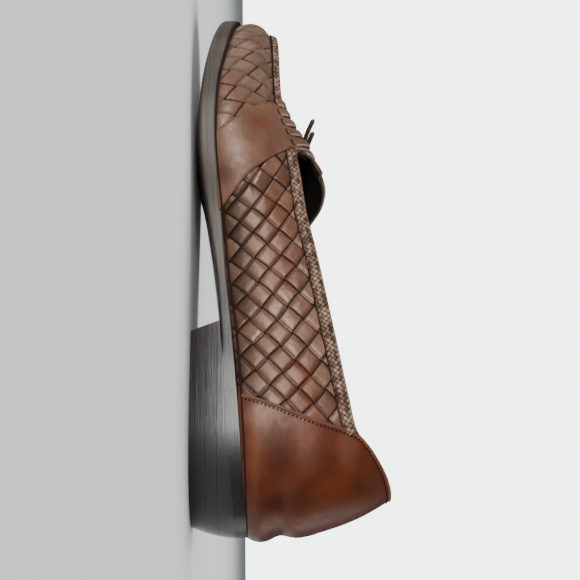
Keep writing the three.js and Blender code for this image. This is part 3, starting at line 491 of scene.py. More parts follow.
def edge_leather(name, pale, deep, heel, roughness, streak_mm, ior):
    """Cut and waxed leather with streaks along it, read from the pattern map (along, up) in millimetres."""
    material, tree = new_material(name)
    spot = add(tree, "UVMap")
    stretch = add(tree, "Mapping", {"Vector": spot, "Scale": (1 / STREAK_LONG_MM, 1 / streak_mm, 1.0)})
    streaks = add(tree, "TexNoise", {"Vector": stretch, "Scale": 1.0, "Detail": 5.0, "Roughness": 0.65})
    place = add(tree, "TexCoord").outputs["Object"]
    # Clouds of wax about 30 mm wide
    cloud = add(tree, "TexNoise", {"Vector": place, "Scale": 35.0, "Detail": 3.0})
    both = add(tree, "Math", {0: streaks, 1: cloud}, operation="MULTIPLY")
    share = add(tree, "MapRange", {"Value": both, 1: 0.15, 2: 0.42})
    colour = add(tree, "Mix", {0: share, 6: linear(deep), 7: linear(pale)}, data_type="RGBA")
    # The polish is nearly black round the heel and browner from the waist to the toe
    away = add(tree, "Math", {0: add(tree, "SeparateXYZ", {"Vector": spot})}, operation="ABSOLUTE")
    front = add(tree, "MapRange", {"Value": away, 1: 95.0, 2: 150.0})
    colour = add(tree, "Mix", {0: front, 6: linear(heel), 7: colour.outputs[2]}, data_type="RGBA")
    shine = {"Value": streaks, 1: 0.3, 2: 0.7, 3: roughness + 0.08, 4: roughness - 0.06}
    gloss = add(tree, "MapRange", shine)
    gloss = add(tree, "Mix", {0: front, 2: HEEL_GLOSS, 3: gloss})
    bump = add(tree, "Bump", {"Height": streaks, "Strength": 0.25, "Distance": 0.0003})
    wax = {"Base Color": colour.outputs[2], "Roughness": gloss, "IOR": ior, "Normal": bump}
    add(tree, "OutputMaterial", {"Surface": add(tree, "BsdfPrincipled", wax)})
    return material


# The sole's wax is worn to a soft shine, and the heel stack is polished hard, so it mirrors more
waxed_edge = edge_leather("waxed_sole_edge_leather", "#554A3F", "#2C231C", "#0E0A08", 0.5, 0.5, 1.5)
waxed_welt = edge_leather("waxed_welt_edge_leather", "#574D43", "#322922", "#0E0A08", 0.5, 0.5, 1.5)
heel_stack = edge_leather("polished_heel_stack_leather", "#1C120E", "#080303", "#0C0504", 0.24, 0.6, 1.58)
print("edge leathers:", waxed_edge.name, waxed_welt.name, heel_stack.name)

# %% [markdown]
# The sole has two layers of stiff leather: the welt, which the upper is sewn to, and the outsole to walk
# on. Each is a loop of sections: a point on top, down the edge, round its lower corner and in under the
# foot. A spin can't make it, because each section differs along the foot. So one grid runs round the shoe,
# and each row of the grid is one line of the section.

# %% Lines of the sole
# The tread lies flat between two shares of the way from middle to edge, and its hang fades at the toe
TREAD_INNER, TREAD_OUTER, UNDER_CURVE = -0.1, -0.62, 1.2
TOE_FADE = (-4, 30)


def side_of(column):
    """1 on the inner side and -1 on the outer side."""
    return np.where(where(column)[0], 1.0, -1.0)


def sole_rim(column, margin):
    """Plan of the sole's edge, moved out by a margin."""
    plan = feather(column)
    reach = np.where(where(column)[0], reach_inside(plan[:, 0]), reach_outside(plan[:, 0]))
    return plan + outward(column) * (reach + margin)[:, None]


def sole_under(x, share):
    """Underside of the sole: share is 0 in the middle, 1 at the inner edge and -1 at the outer edge."""
    edge = sole_top(x) - np.where(share < 0, edge_outside(x), edge_inside(x))
    fade = smoothstep(*TOE_FADE, TOE_TIP - x)
    middle = sole_top(x) - (edge_inside(x) + edge_outside(x)) / 2 - hang(x) * fade
    inner, outer = (share - TREAD_INNER) / (1 - TREAD_INNER), (TREAD_OUTER - share) / (1 + TREAD_OUTER)
    run = np.maximum(0, np.maximum(inner, outer))
    return np.maximum(0, middle + (edge - middle) * run**UNDER_CURVE)


def across_shoe(edge, column, share):
    """Plan between the two sides of an edge: share is 1 on this side and 0 in the middle."""
    here, there = edge(column), edge(COLUMNS - column)
    return (here + there) / 2 + (here - there) / 2 * share


def rim_line(margin, level):
    """Line round the sole's edge; level gives its height for x and side."""
    def line(column):
        plan = sole_rim(column, margin)
        return np.column_stack([plan, level(plan[:, 0], side_of(column))])

    return line


def under_line(share):
    """Line round the underside, at a share of the way from the middle to the edge."""
    def line(column):
        plan = across_shoe(lambda c: sole_rim(c, 0), column, share)
        return np.column_stack([plan, sole_under(plan[:, 0], side_of(column) * share)])

    return line


def layer_loop(shape, lines, steps):
    """Closed loop round the shoe through a list of lines; each gives points for columns."""
    rows = len(lines) - 1

    def place(u, v):
        points = np.zeros((len(u), 3))
        row = np.rint(v * rows).astype(int)
        for k, line in enumerate(lines):
            here = row == k
            points[here] = line(u[here] * COLUMNS)
        return points

    def marks(u, v):
        return heel_distance(u * COLUMNS - JUST_INSIDE), place(u, v)[:, 2]

    add_sheet(shape, steps, rows, place, marks)


print("tread flat from", TREAD_OUTER, "to", TREAD_INNER, "of the half width")

# %% [markdown]
# With those lines, welt and outsole are two short lists of rows. On the real shoe the upper corner of the
# welt is broken by a file and the lower corner of the outsole is rounded, except over the heel, where it
# has to sit flat on the heel stack. A bevel would round both alike, so the rows of each corner are given
# one by one.

# %% Sole and welt
SOLE_STEPS, SOLE_SHARP = 480, 50
# Both layers reach in under the upper, swell a little at the edge and stay a hair's breadth apart
LAYER_INSIDE, EDGE_SWELL = -12, 0.1
WELT_LIFT, OUTSOLE_LIFT = 0.06, 0.02
# Margin outside the edge with drop below the sole's top, and with lift over the sole's lower edge
WELT_TOP_ROWS = [(LAYER_INSIDE, 0), (-0.8, 0), (-0.3, 0.15), (0, 0.6)]
OUTSOLE_CORNER_ROWS = [(0.05, 1.1), (-0.1, 0.7), (-0.5, 0.25), (-1.1, 0.02)]
UNDER_SHARES = (0.93, 0.84, 0.73, 0.62, 0.5, 0.38, 0.25, 0.1, 0.0)
HEEL_CORNER = (95, 110)


def below_top(drop):
    """Level at a drop below the sole's top."""
    return lambda x, side: sole_top(x) - drop


def welt_middle(x, side):
    return sole_top(x) - welt_thick(x) * 0.5


def welt_low(x, side):
    return sole_top(x) - welt_thick(x) + WELT_LIFT


def outsole_high(x, side):
    return sole_top(x) - welt_thick(x) + OUTSOLE_LIFT


def outsole_low(x, side):
    return sole_under(x, side * 0.999)


def outsole_middle(x, side):
    return (outsole_high(x, side) + outsole_low(x, side)) / 2


def corner_line(margin, lift):
    """Line round the sole's lower corner, which is rounded but stays square over the heel."""
    def line(column):
        front = smoothstep(*HEEL_CORNER, np.abs(heel_distance(column)))
        plan = sole_rim(column, EDGE_SWELL + (margin - EDGE_SWELL) * front)
        return np.column_stack([plan, outsole_low(plan[:, 0], side_of(column)) + lift])

    return line


welt = bmesh.new()
layer_loop(welt, [
    *(rim_line(margin, below_top(drop)) for margin, drop in WELT_TOP_ROWS),
    rim_line(EDGE_SWELL, welt_middle), rim_line(EDGE_SWELL, welt_low), rim_line(LAYER_INSIDE, welt_low),
], SOLE_STEPS)
finish_piece("welt_edge", welt, waxed_welt, ["welt"], sharp=SOLE_SHARP)

outsole = bmesh.new()
layer_loop(outsole, [
    rim_line(LAYER_INSIDE, outsole_high), rim_line(EDGE_SWELL, outsole_high), rim_line(0.12, outsole_middle),
    *(corner_line(margin, lift) for margin, lift in OUTSOLE_CORNER_ROWS),
    *(under_line(share) for share in UNDER_SHARES),
], SOLE_STEPS)
finish_piece("outsole_leather", outsole, waxed_edge, ["outsole"], sharp=SOLE_SHARP)

# %% [markdown]
# A stacked heel is built of leather lifts, glued one on another and then rasped to one form that tapers to
# the floor. A cylinder could be cut to that form, but the lifts have to follow the plan of the sole, and
# the top one its curved underside. So each lift is a grid wound round the heel, whose last rows close in on
# its middle.

# %% Heel lifts
# Columns that the heel takes on each side, lean of its front, and the share of its outline that is round
HEEL_REACH, BREAST_LEAN, ROUND_SHARE = 17.2, 1.1, 0.88
# Taper to the floor all round, more of it at the back, within a sixth of the way to the toe
HEEL_TAPER, BACK_TAPER, BACK_SPAN, TAPER_CURVE = 2, 4, 6, 1.7
# The wedge meets the sole just inside its edge and a hair below it; its height is guessed first
SEAT_EDGE, SEAT_GAP, SEAT_GUESS = 0.98, 0.02, 20.0
HEEL_MIDDLE = np.array([-105.0, 0.0])
HEEL_STEPS, HEEL_SHARP = 200, 40
# Rows of a lift from its lower middle to its upper middle: level, way in to the middle
LIFT_ROWS = np.array([
    (0.0, 1.0), (0.0, 0.3), (0.0, 0.0), (0.33, 0.0), (0.67, 0.0), (1.0, 0.0), (1.0, 0.3), (1.0, 1.0),
])
# Name, lower and upper side in millimetres, solid that it stands for
HEEL_LIFTS = [
    ("heel_top_lift_leather", 0.0, 2.6, "heel_top_lift"),
    ("heel_lower_lift_leather", 2.7, 8.0, "heel_lift_lower"),
    ("heel_upper_lift_leather", 8.1, 13.4, "heel_lift_upper"),
    ("heel_wedge_leather", 13.5, None, "heel_wedge"),
]


def heel_outline(u, z):
    """Outline of the heel at a height: round the back first, then straight across its front."""
    seat = float(sole_under(np.array([float(HEEL_BACK)]), np.array([0.0]))[0])
    depth = np.maximum(0, 1 - z / seat)
    taper = depth**TAPER_CURVE
    front = HEEL_REACH - BREAST_LEAN * depth
    column = (2 * np.clip(u / ROUND_SHARE, 0, 1) - 1) * front
    back = np.maximum(0, 1 - where(column)[1] * BACK_SPAN)
    plan = sole_rim(column, -(HEEL_TAPER + BACK_TAPER * back * back) * taper)
    across = np.clip((u - ROUND_SHARE) / (1 - ROUND_SHARE), 0, 1)
    ends = [sole_rim(c, -HEEL_TAPER * taper) for c in (front, -front)]
    breast = ends[0] + (ends[1] - ends[0]) * across[:, None]
    straight = u > ROUND_SHARE
    share = np.where(straight, SEAT_EDGE * (1 - 2 * across), SEAT_EDGE * side_of(column))
    return np.where(straight[:, None], breast, plan), share


def heel_piece(name, low, high, node):
    """One lift of the heel; the wedge has no upper side of its own and follows the sole."""
    def place(u, v):
        level, inset = LIFT_ROWS[np.rint(v * (len(LIFT_ROWS) - 1)).astype(int)].T
        top = np.full_like(u, SEAT_GUESS if high is None else high)
        plan, share = heel_outline(u, low + (top - low) * level)
        if high is None:
            top = sole_under(plan[:, 0], share) - SEAT_GAP
            plan, share = heel_outline(u, low + (top - low) * level)
        plan = plan + (HEEL_MIDDLE - plan) * inset[:, None]
        if high is None:
            top = sole_under(plan[:, 0], share * (1 - inset)) - SEAT_GAP
        return np.column_stack([plan, low + (top - low) * level])

    shape = bmesh.new()
    add_sheet(shape, HEEL_STEPS, len(LIFT_ROWS) - 1, place, lambda u, v: (u * HEEL_STEPS, place(u, v)[:, 2]))
    finish_piece(name, shape, heel_stack, [node], closed=True, sharp=HEEL_SHARP)


for lift in HEEL_LIFTS:
    heel_piece(*lift)

# %% [markdown]
# The upper is woven from flat strips of calf leather. Two families of strips cross on the slant, and each
# strip goes over one and under the next. A mesh of separate strips would need thousands of tiny overlaps.
# Here each sheet carries a map that counts strips along both slants. The same count raises the sheet into
# pads, paints shade into the gaps and gives every pad its own tone, so all three always agree.

# %% Counting the strips
# Quarters, in millimetres: lowest crossing, rise of a row, first strip, its shift, width and growth per row
ROW_START, ROW_RISE = 9.1, 6.6
STRIP_START, STRIP_SHIFT, STRIP_WIDTH, STRIP_GROWTH = 73.75, 21.25 / 12, 13.25, 0.375
# Vamp: a crossing in front of the strap on the inner side, and strips per mm along and up, both families
VAMP_ALONG, VAMP_RISE = 240.8, 19.7
VAMP_FIRST, VAMP_SECOND = (0.1054, 0.0179), (0.0532, -0.088)
PLUG_STRIP = 13.0
QUARTER_UNEVEN, VAMP_UNEVEN = 0.02, 0.03


def uneven(a, b, amount):
    """Strip counts of hand-pulled strips, which are not quite straight or even."""
    return a + amount * np.sin(1.7 * b + 0.9 * a), b + amount * np.sin(2.1 * a - 0.7 * b + 1.3)


def quarter_weave(column, height):
    """Strip counts behind the strap, the same on both sides of the shoe."""
    row = (wall_run(column, height) - ROW_START) / ROW_RISE
    along = np.abs(heel_distance(column)) - STRIP_START + STRIP_SHIFT * row
    step = along / (STRIP_WIDTH + STRIP_GROWTH * row)
    return uneven(step + row / 2, step - row / 2, QUARTER_UNEVEN)


def vamp_weave(column, height):
    """Strip counts in front of the strap, running on round the toe."""
    along, rise = np.mod(column, COLUMNS) * COLUMN_WIDTH - VAMP_ALONG, wall_run(column, height) - VAMP_RISE
    return uneven(*(p * along + q * rise for p, q in (VAMP_FIRST, VAMP_SECOND)), VAMP_UNEVEN)


def plug_weave(column, height):
    """Strip counts on top of the toe, on the slant to the shoe."""
    x, y, _ = last_point(column, height).T
    return (x + y) / PLUG_STRIP, (x - y) / PLUG_STRIP


count = quarter_weave(np.array([25.0]), np.array([0.2]))[0][0]
print("strips round half the quarter:", round(float(count), 1))

# %% [markdown]
# Where a strip lies on top it makes a pad: a low pillow with steep long sides, which dives under its
# neighbours at both ends. A displacement map could raise it, but the corners of the sheet are close enough
# to be moved themselves. On the toe the strips lie so tight that each pad only shows a step at one long
# edge.

# %% Pads of the weave
# How far a strip's edge is inside its cell, and how soft it is, both in strips
LONG_EDGE, EDGE_SOFT = 0.045, 0.03


def pad_height(a, b, relief, tight=False):
    """How far a strip stands out where it lies on top; tight strips show a step at their near edge alone."""
    strip_a, strip_b = a - np.floor(a), b - np.floor(b)
    first = np.mod(np.floor(a) + np.floor(b), 2) < 0.5
    across = np.where(first, strip_a, strip_b)
    along = np.abs(2 * np.where(first, strip_b, strip_a) - 1)
    if tight:
        crown = (0.6 + 0.4 * across) * (1 - 0.3 * along**2)
        edge = smoothstep(1 - LONG_EDGE + EDGE_SOFT, 1 - LONG_EDGE - EDGE_SOFT, across)
        return relief * crown * (0.3 + 0.7 * edge)
    inner = 0.5 - np.abs(across - 0.5)
    crown = 0.12 + 0.88 * (1 - 0.7 * along**4) * (1 - 0.08 * (2 * across - 1) ** 2)
    edge = smoothstep(LONG_EDGE - EDGE_SOFT, LONG_EDGE + EDGE_SOFT, inner)
    gap = 0.28 * (1 - 0.6 * np.minimum(1, inner / LONG_EDGE))
    return relief * (crown * edge + gap * (1 - edge))


print("middle of a pad:", pad_height(0.5, 0.5, 1.0).round(2), "of its relief")

# %% [markdown]
# The strips are calf leather, dyed brown, waxed and burnished by hand. Each strip took the dye in its own
# way, and red-brown clouds lie over some of them. Shade is painted into the gaps, at the pads' ends and over
# the lowest pads by the sole. A painted picture could carry that, but it would not know the strips. Nodes
# that count them as the sheet does put each tone and each painted shade where it belongs.

# %% Woven calf leather
# Waxed calf mirrors the room in its own warm tone
WARM_SHEEN = linear("#F0D6C6")
# The first colour is painted shade over the lowest pads by the sole; the second is the leather's own mottle
LOW_PAD_SHADE, MOTTLE = linear("#2E150B"), linear("#2E1A12")


def strip_nodes(tree):
    """Nodes that read both strip counts, their whole parts, and the place across and along the top strip."""
    spot = add(tree, "SeparateXYZ", {"Vector": add(tree, "UVMap")})
    floors = [add(tree, "Math", {0: spot.outputs[k]}, operation="FLOOR") for k in (0, 1)]
    parts = [add(tree, "Math", {0: spot.outputs[k]}, operation="FRACT") for k in (0, 1)]
    both = add(tree, "Math", {0: floors[0], 1: floors[1]}, operation="ADD")
    second = add(tree, "Math", {0: both, 1: 2.0}, operation="FLOORED_MODULO")
    across = add(tree, "Mix", {0: second, 2: parts[0], 3: parts[1]})
    along = add(tree, "Mix", {0: second, 2: parts[1], 3: parts[0]})
    return spot, floors, across, along


def woven_calf(name, dull, bright, red, gap, ends_dark, near_soft, far_dark, far_soft, cloud_mm, rows=None):
    """Burnished strips: pads of uneven tone with red-brown clouds, and painted shade at their gaps and ends.

    The gap colour is the colour of that painted shade. ends_dark and far_dark are how dark the painted shade
    at a pad's ends and its far edge is; near_soft and far_soft are how far the painted shadow of its two
    long edges reaches in, in strips. rows gives the row of pads that is red and the row below which pads get
    painted shade; without it the red clouds lie anywhere."""
    material, tree = new_material(name)
    spot, floors, across, along = strip_nodes(tree)
    place = add(tree, "TexCoord").outputs["Object"]
    # The dark at a pad's long edges, far edge and ends is painted shadow where strips cross and dive under
    near = add(tree, "MapRange", {"Value": across, 1: 1 - LONG_EDGE - near_soft, 2: 1 - LONG_EDGE})
    far_edge = {"Value": across, 1: LONG_EDGE + far_soft, 2: LONG_EDGE, 3: 0.0, 4: far_dark}
    far = add(tree, "MapRange", far_edge)
    ends = add(tree, "Math", {0: along, 1: 2.0, 2: -1.0}, operation="MULTIPLY_ADD")
    ends = add(tree, "Math", {0: ends}, operation="ABSOLUTE")
    sink = add(tree, "MapRange", {"Value": ends, 1: 0.7, 2: 1.0, 3: 0.0, 4: ends_dark})
    line = add(tree, "Math", {0: near, 1: far}, operation="MAXIMUM")
    dark = add(tree, "Math", {0: line, 1: sink}, operation="MAXIMUM")

    pad = add(tree, "CombineXYZ", {0: floors[0], 1: floors[1]})
    shade = add(tree, "TexWhiteNoise", {"Vector": pad}, noise_dimensions="2D").outputs["Value"]
    other = add(tree, "CombineXYZ", {0: floors[1], 1: floors[0], 2: 7.0})
    chance = add(tree, "TexWhiteNoise", {"Vector": other}, noise_dimensions="3D").outputs["Value"]
    cloud = add(tree, "TexNoise", {"Vector": place, "Scale": 1000 / cloud_mm, "Detail": 2.0})
    small = add(tree, "TexNoise", {"Vector": place, "Scale": 4500 / cloud_mm, "Detail": 4.0})
    base = add(tree, "Mix", {0: shade, 6: linear(dull), 7: linear(bright)}, data_type="RGBA").outputs[2]
    patchy = add(tree, "MapRange", {"Value": chance, 1: 0.0, 2: 1.0, 3: 0.4, 4: 1.0})
    # Pads below the low row get painted shade, darkest by the sole
    if rows:
        row = add(tree, "Math", {0: spot.outputs[0], 1: spot.outputs[1]}, operation="SUBTRACT")
        low = add(tree, "MapRange", {"Value": row, 1: rows[1] + 1.4, 2: rows[1] - 0.2, 3: 0.0, 4: 1.0})
        low = add(tree, "Math", {0: low, 1: patchy}, operation="MULTIPLY")
        base = add(tree, "Mix", {0: low, 6: base, 7: LOW_PAD_SHADE}, data_type="RGBA").outputs[2]
        beside = add(tree, "Math", {0: row, 1: rows[0]}, operation="SUBTRACT")
        beside = add(tree, "Math", {0: beside}, operation="ABSOLUTE")
        beside = add(tree, "MapRange", {"Value": beside, 1: 1.7, 2: 0.4})
        warm = add(tree, "MapRange", {"Value": cloud, 1: 0.42, 2: 0.58})
        warm = add(tree, "Math", {0: warm, 1: beside}, operation="MULTIPLY")
    else:
        warm = add(tree, "MapRange", {"Value": cloud, 1: 0.5, 2: 0.68})
    warm = add(tree, "Math", {0: warm, 1: patchy}, operation="MULTIPLY")
    base = add(tree, "Mix", {0: warm, 6: base, 7: linear(red)}, data_type="RGBA").outputs[2]
    mottle = add(tree, "MapRange", {"Value": small, 1: 0.4, 2: 0.75, 3: 0.0, 4: 0.4})
    base = add(tree, "Mix", {0: mottle, 6: base, 7: MOTTLE}, data_type="RGBA").outputs[2]
    # The gap colour is laid over the pads as painted shade
    colour = add(tree, "Mix", {0: dark, 6: base, 7: linear(gap)}, data_type="RGBA").outputs[2]
    gloss = add(tree, "MapRange", {"Value": cloud, 1: 0.35, 2: 0.65, 3: 0.25, 4: 0.4})
    gloss = add(tree, "Mix", {0: line, 2: gloss, 3: 1.0})

    # Strips are never quite flat: soft waves, about 5 mm long on the big weave, break up their sheen
    waves = add(tree, "Bump", {"Height": small, "Strength": 0.5, "Distance": 0.0006})
    # Calf grain is about 0.3 mm wide; it is drawn at 0.6 mm so that it shows
    grain = add(tree, "TexNoise", {"Vector": place, "Scale": 1600.0, "Detail": 3.0})
    bump = add(tree, "Bump", {"Height": grain, "Strength": 0.3, "Distance": 0.0001, "Normal": waves})
    calf = {"Base Color": colour, "Roughness": gloss, "IOR": 1.45, "Normal": bump}
    calf["Specular Tint"] = WARM_SHEEN
    add(tree, "OutputMaterial", {"Surface": add(tree, "BsdfPrincipled", calf)})
    return material


# The quarters look deep brown, with painted shade in crisp gaps and over the lowest pads; the vamp's paler
# strips have softer painted shade at their steps and a painted contact shadow where they lie under the next
quarter_calf = woven_calf(
    "woven_calf_leather_quarters", "#5C3F30", "#785946", "#642C19", "#160A06",
    ends_dark=0.4, near_soft=0.035, far_dark=1.0, far_soft=0.035, cloud_mm=24.0, rows=(3.3, 0.1),
)
vamp_calf = woven_calf(
    "woven_calf_leather_vamp", "#62493A", "#785E4E", "#764A38", "#0E0604",
    ends_dark=0.2, near_soft=0.12, far_dark=0.5, far_soft=0.28, cloud_mm=22.0,
)
print("woven leathers:", quarter_calf.name, vamp_calf.name)

# %% [markdown]
# The topline is where the upper is cut off for the foot, and strap and counter are cut by their own edges
# in the side view. Those edges are tables too. A knife cut through the finished mesh would leave ragged
# faces. So the column of each edge is looked for at every height, by halving the range, and sheets are laid
# between.

# %% Edges seen from the side
# Topline: x, height inside and outside
TOPLINE = [
    (-165, 98.8, 98.8), (-131, 98.0, 98.2), (-124, 95.8, 96.0), (-113, 88.6, 88.4), (-103, 80.8, 80.0),
    (-87, 77.2, 75.2), (-47, 70.4, 68.0), (-9, 63.8, 61.0), (11, 59.5, 57.8), (22, 57.9, 58.0),
    (33, 56.5, 64.2), (40, 55.5, 70.8), (44, 54.9, 72.6), (47, 54.6, 73.0), (51, 55.4, 71.8),
    (54.5, 59.8, 69.8), (59, 67.0, 66.8),
]
# Strap: height, x of its front and back edge; counter: height, x of its front edge
STRAP = [
    (8, 49, 2), (15.5, 54, 12), (20.5, 57.8, 19), (29, 65.3, 30), (36, 71.8, 36.4), (42, 76.6, 41.8),
    (47.5, 81.6, 46.2), (52, 84.6, 49.4), (58.5, 87.0, 53.2), (64.5, 88.5, 59.0), (90, 88.5, 76.0),
]
COUNTER = [
    (15, -83.5), (29, -86.6), (46, -92.8), (56, -96.6), (66, -99.8), (75, -102.2), (81, -104.6), (110, -113),
]
OPENING_FRONT, NO_EDGE = 59, 200.0
HALVINGS = 30
EDGE_HEIGHTS = np.linspace(0, 1, 201)
top_inside, top_outside = (smooth_curve(TOPLINE, k) for k in (1, 2))
strap_front, strap_back = (smooth_curve(STRAP, k) for k in (1, 2))
counter_front = smooth_curve(COUNTER, 1)


def topline(x, inside):
    """Height of the topline at x; in front of the opening there is none."""
    return np.where(x > OPENING_FRONT, NO_EDGE, np.where(inside, top_inside(x), top_outside(x)))


def column_where(inside, height, behind):
    """Column, counted from the heel, where behind(point) turns false at each height of a side."""
    low, high = np.zeros_like(height), np.full_like(height, float(HALF_LOOP))
    for _ in range(HALVINGS):
        middle = (low + high) / 2
        back = behind(last_point(on_side(inside, middle), height))
        low, high = np.where(back, middle, low), np.where(back, high, middle)
    return (low + high) / 2


def edge_columns(edge):
    """Column of an edge at each height, inner side and outer side."""
    def behind(point):
        return point[..., 0] < edge(point[..., 2])

    return [column_where(inside, EDGE_HEIGHTS, behind) for inside in (True, False)]


STRAP_FRONT, STRAP_BACK = edge_columns(strap_front), edge_columns(strap_back)
COUNTER_FRONT = edge_columns(counter_front)


def read_edge(edge, inside, height):
    """Column of an edge at any height."""
    return np.where(inside, *(np.interp(height, EDGE_HEIGHTS, side) for side in edge))


def strap_middle(inside, height):
    """Column of the strap's middle line, under which the woven sheets end."""
    return (read_edge(STRAP_FRONT, inside, height) + read_edge(STRAP_BACK, inside, height)) / 2


def cut_heights(share, limit, ceiling):
    """Height at which the lines of columns share * limit(height) reach the topline."""
    heights = np.linspace(0.02, ceiling, 500)
    inside = share >= 0
    point = last_point(share[:, None] * limit(inside[:, None], heights[None, :]), heights[None, :])
    over = point[..., 2] - topline(point[..., 0], inside[:, None])
    cut = np.full(len(share), ceiling)
    for k in range(len(share)):
        first = np.argmax(over[k] > 0)
        if over[k, first] > 0 and first > 0:
            a, b = over[k, first - 1], over[k, first]
            cut[k] = heights[first - 1] + (heights[first] - heights[first - 1]) * -a / (b - a)
    return cut


print("strap foot:", round(float(STRAP_BACK[0][0]), 2), "to", round(float(STRAP_FRONT[0][0]), 2), "columns")

# %% [markdown]
# The quarters are the woven sides and back of the shoe, from strap to strap round the heel. Their topline
# rises and falls, so even columns would leave long faces where it is steep. The columns are therefore set
# closer there. Under the counter the sheet is thinned as a maker skives it, so that the counter's dents
# stay clear of it.

# %% Woven quarters
QUARTER_CEILING, QUARTER_STEP, QUARTER_ROWS, QUARTER_RELIEF = 0.97, 0.6, 104, 1.3
# The thinned part lies within these distances of the heel's back and of the sole
SKIVED_ALONG, SKIVED_RISE, SKIVED_DEPTH = (50, 40), (34, 26), 1.2


def even_shares(limit, ceiling, step):
    """Shares from the outer strap round the heel to the inner one, at even steps, and their cut heights."""
    shares = np.linspace(-1, 1, 1601)
    cut = cut_heights(shares, limit, ceiling)
    top, foot = (last_point(shares * limit(shares >= 0, height), height) for height in (cut, 0 * cut))
    run = np.maximum(*(np.linalg.norm(np.diff(line, axis=0), axis=1) for line in (top, foot)))
    gone = np.concatenate([[0], np.cumsum(run)])
    even = np.interp(np.linspace(0, gone[-1], int(gone[-1] / step) + 1), gone, shares)
    return even, cut_heights(even, limit, ceiling)


quarter_shares, quarter_cuts = even_shares(strap_middle, QUARTER_CEILING, QUARTER_STEP)


def quarter_place(u):
    """Share and cut height for a place along the quarters."""
    index = np.arange(len(quarter_shares))
    return [np.interp(u * index[-1], index, values) for values in (quarter_shares, quarter_cuts)]


def quarter_spot(u, v):
    share, cut = quarter_place(u)
    height = v * cut
    return share * strap_middle(share >= 0, height), height


def quarter_lift(column, height):
    """Pads of the weave, skived away under the counter."""
    skived = smoothstep(*SKIVED_ALONG, np.abs(heel_distance(column)))
    skived = skived * smoothstep(*SKIVED_RISE, wall_run(column, height))
    return pad_height(*quarter_weave(column, height), QUARTER_RELIEF) * (1 - skived) - SKIVED_DEPTH * skived


def woven_piece(name, across, up, spot, weave, lift, material):
    """Woven sheet: spot gives column and height, weave its strip counts and lift how far it stands out."""
    def place(u, v):
        column, height = spot(u, v)
        return shell(column, height, lift(column, height))

    shape = bmesh.new()
    add_sheet(shape, across, up, place, lambda u, v: weave(*spot(u, v)), flip=True)
    finish_piece(name, shape, material, ["upper"])


quarter_columns = len(quarter_shares) - 1
woven_piece(
    "woven_quarters", quarter_columns, QUARTER_ROWS, quarter_spot, quarter_weave, quarter_lift, quarter_calf
)

# %% [markdown]
# The vamp goes round the toe from strap to strap, and the plug closes it on top. On the real shoe they are
# two pieces, sewn together under a plait, and each has its own slant of the weave. One sheet with two
# patterns would be smoother, but the seam would be lost. So both end under the plait's line, at one height
# of the last.

# %% Woven vamp and plug
SEAM_HEIGHT = 0.72
VAMP_RELIEF, PLUG_RELIEF = 1.0, 0.9


def over_ridge(turn):
    """Side and height on the way up the inner wall, over the ridge at 1 and down the outer wall to 2."""
    inside = turn <= 1
    return inside, np.where(inside, turn, 2 - turn)


def vamp_spot(u, v):
    height = v * SEAM_HEIGHT
    start, end = strap_middle(True, height), COLUMNS - strap_middle(False, height)
    return start + (end - start) * u, height


def plug_spot(u, v):
    inside, height = over_ridge(SEAM_HEIGHT + (2 - 2 * SEAM_HEIGHT) * v)
    start = strap_middle(inside, height)
    return on_side(inside, start + (HALF_LOOP - start) * u), height


def vamp_lift(column, height):
    return pad_height(*vamp_weave(column, height), VAMP_RELIEF, tight=True)


def plug_lift(column, height):
    return pad_height(*plug_weave(column, height), PLUG_RELIEF, tight=True)


woven_piece("woven_vamp", 460, 80, vamp_spot, vamp_weave, vamp_lift, vamp_calf)
woven_piece("woven_plug", 150, 90, plug_spot, plug_weave, plug_lift, vamp_calf)

# %% [markdown]
# Inside, the shoe is lined with thin black leather. A solid wall could be made by thickening the woven
# sheet, but its pads would show through. So the lining is one more sheet on the last, two millimetres
# further in, and its top turns over the cut edge of the woven wall.

# %% Lining
# Thickness of the wall, share of the lining's way up that ends at the cut edge, and how far it turns over
WALL, LINING_TURN, LINING_OVER = 2.0, 0.94, 2.2


def dyed_calf(name, deep, pale, cloud, cloud_detail, grain, roughness, ior):
    """Plain dyed calf of two close shades; cloud and grain are noise scales, 1000 over a size in mm."""
    material, tree = new_material(name)
    place = add(tree, "TexCoord").outputs["Object"]
    shade = add(tree, "TexNoise", {"Vector": place, "Scale": cloud, "Detail": cloud_detail})
    tint = add(tree, "Mix", {0: shade, 6: linear(deep), 7: linear(pale)}, data_type="RGBA").outputs[2]
    pores = add(tree, "TexNoise", {"Vector": place, "Scale": grain, "Detail": 3.0})
    bump = add(tree, "Bump", {"Height": pores, "Strength": 0.2, "Distance": 0.0002})
    calf = {"Base Color": tint, "Roughness": roughness, "IOR": ior, "Normal": bump}
    add(tree, "OutputMaterial", {"Surface": add(tree, "BsdfPrincipled", calf)})
    return material


# Lining leather is matt and nearly black, rubbed in places about 33 mm wide, with a soft grain of 0.8 mm
black_lining = dyed_calf("black_lining_leather", "#0B0908", "#1A1513", 30.0, 2.0, 1200.0, 0.9, 1.25)


def quarter_lining(u, v):
    column, height = quarter_spot(u, np.minimum(v / LINING_TURN, 1))
    over = np.clip((v - LINING_TURN) / (1 - LINING_TURN), 0, 1)
    return shell(column, height, -WALL + LINING_OVER * over)


def vamp_lining(u, v):
    inside, height = over_ridge(2 * v)
    back = read_edge(STRAP_BACK, inside, height) + 0.4
    return shell(on_side(inside, back + (HALF_LOOP - back) * u), height, np.full_like(u, -WALL))


lining = bmesh.new()
add_sheet(lining, 300, 50, quarter_lining)
add_sheet(lining, 60, 80, vamp_lining)
finish_piece("lining", lining, black_lining, ["upper"])

# %% [markdown]
# The foot rests on a padded insole, covered in the same black leather. A thin slab would do, but its edge
# would look hard where it can be seen from above. So it is a loop of rows like the sole, round at its edge
# and a little hollow in the middle, where a foot presses on it.

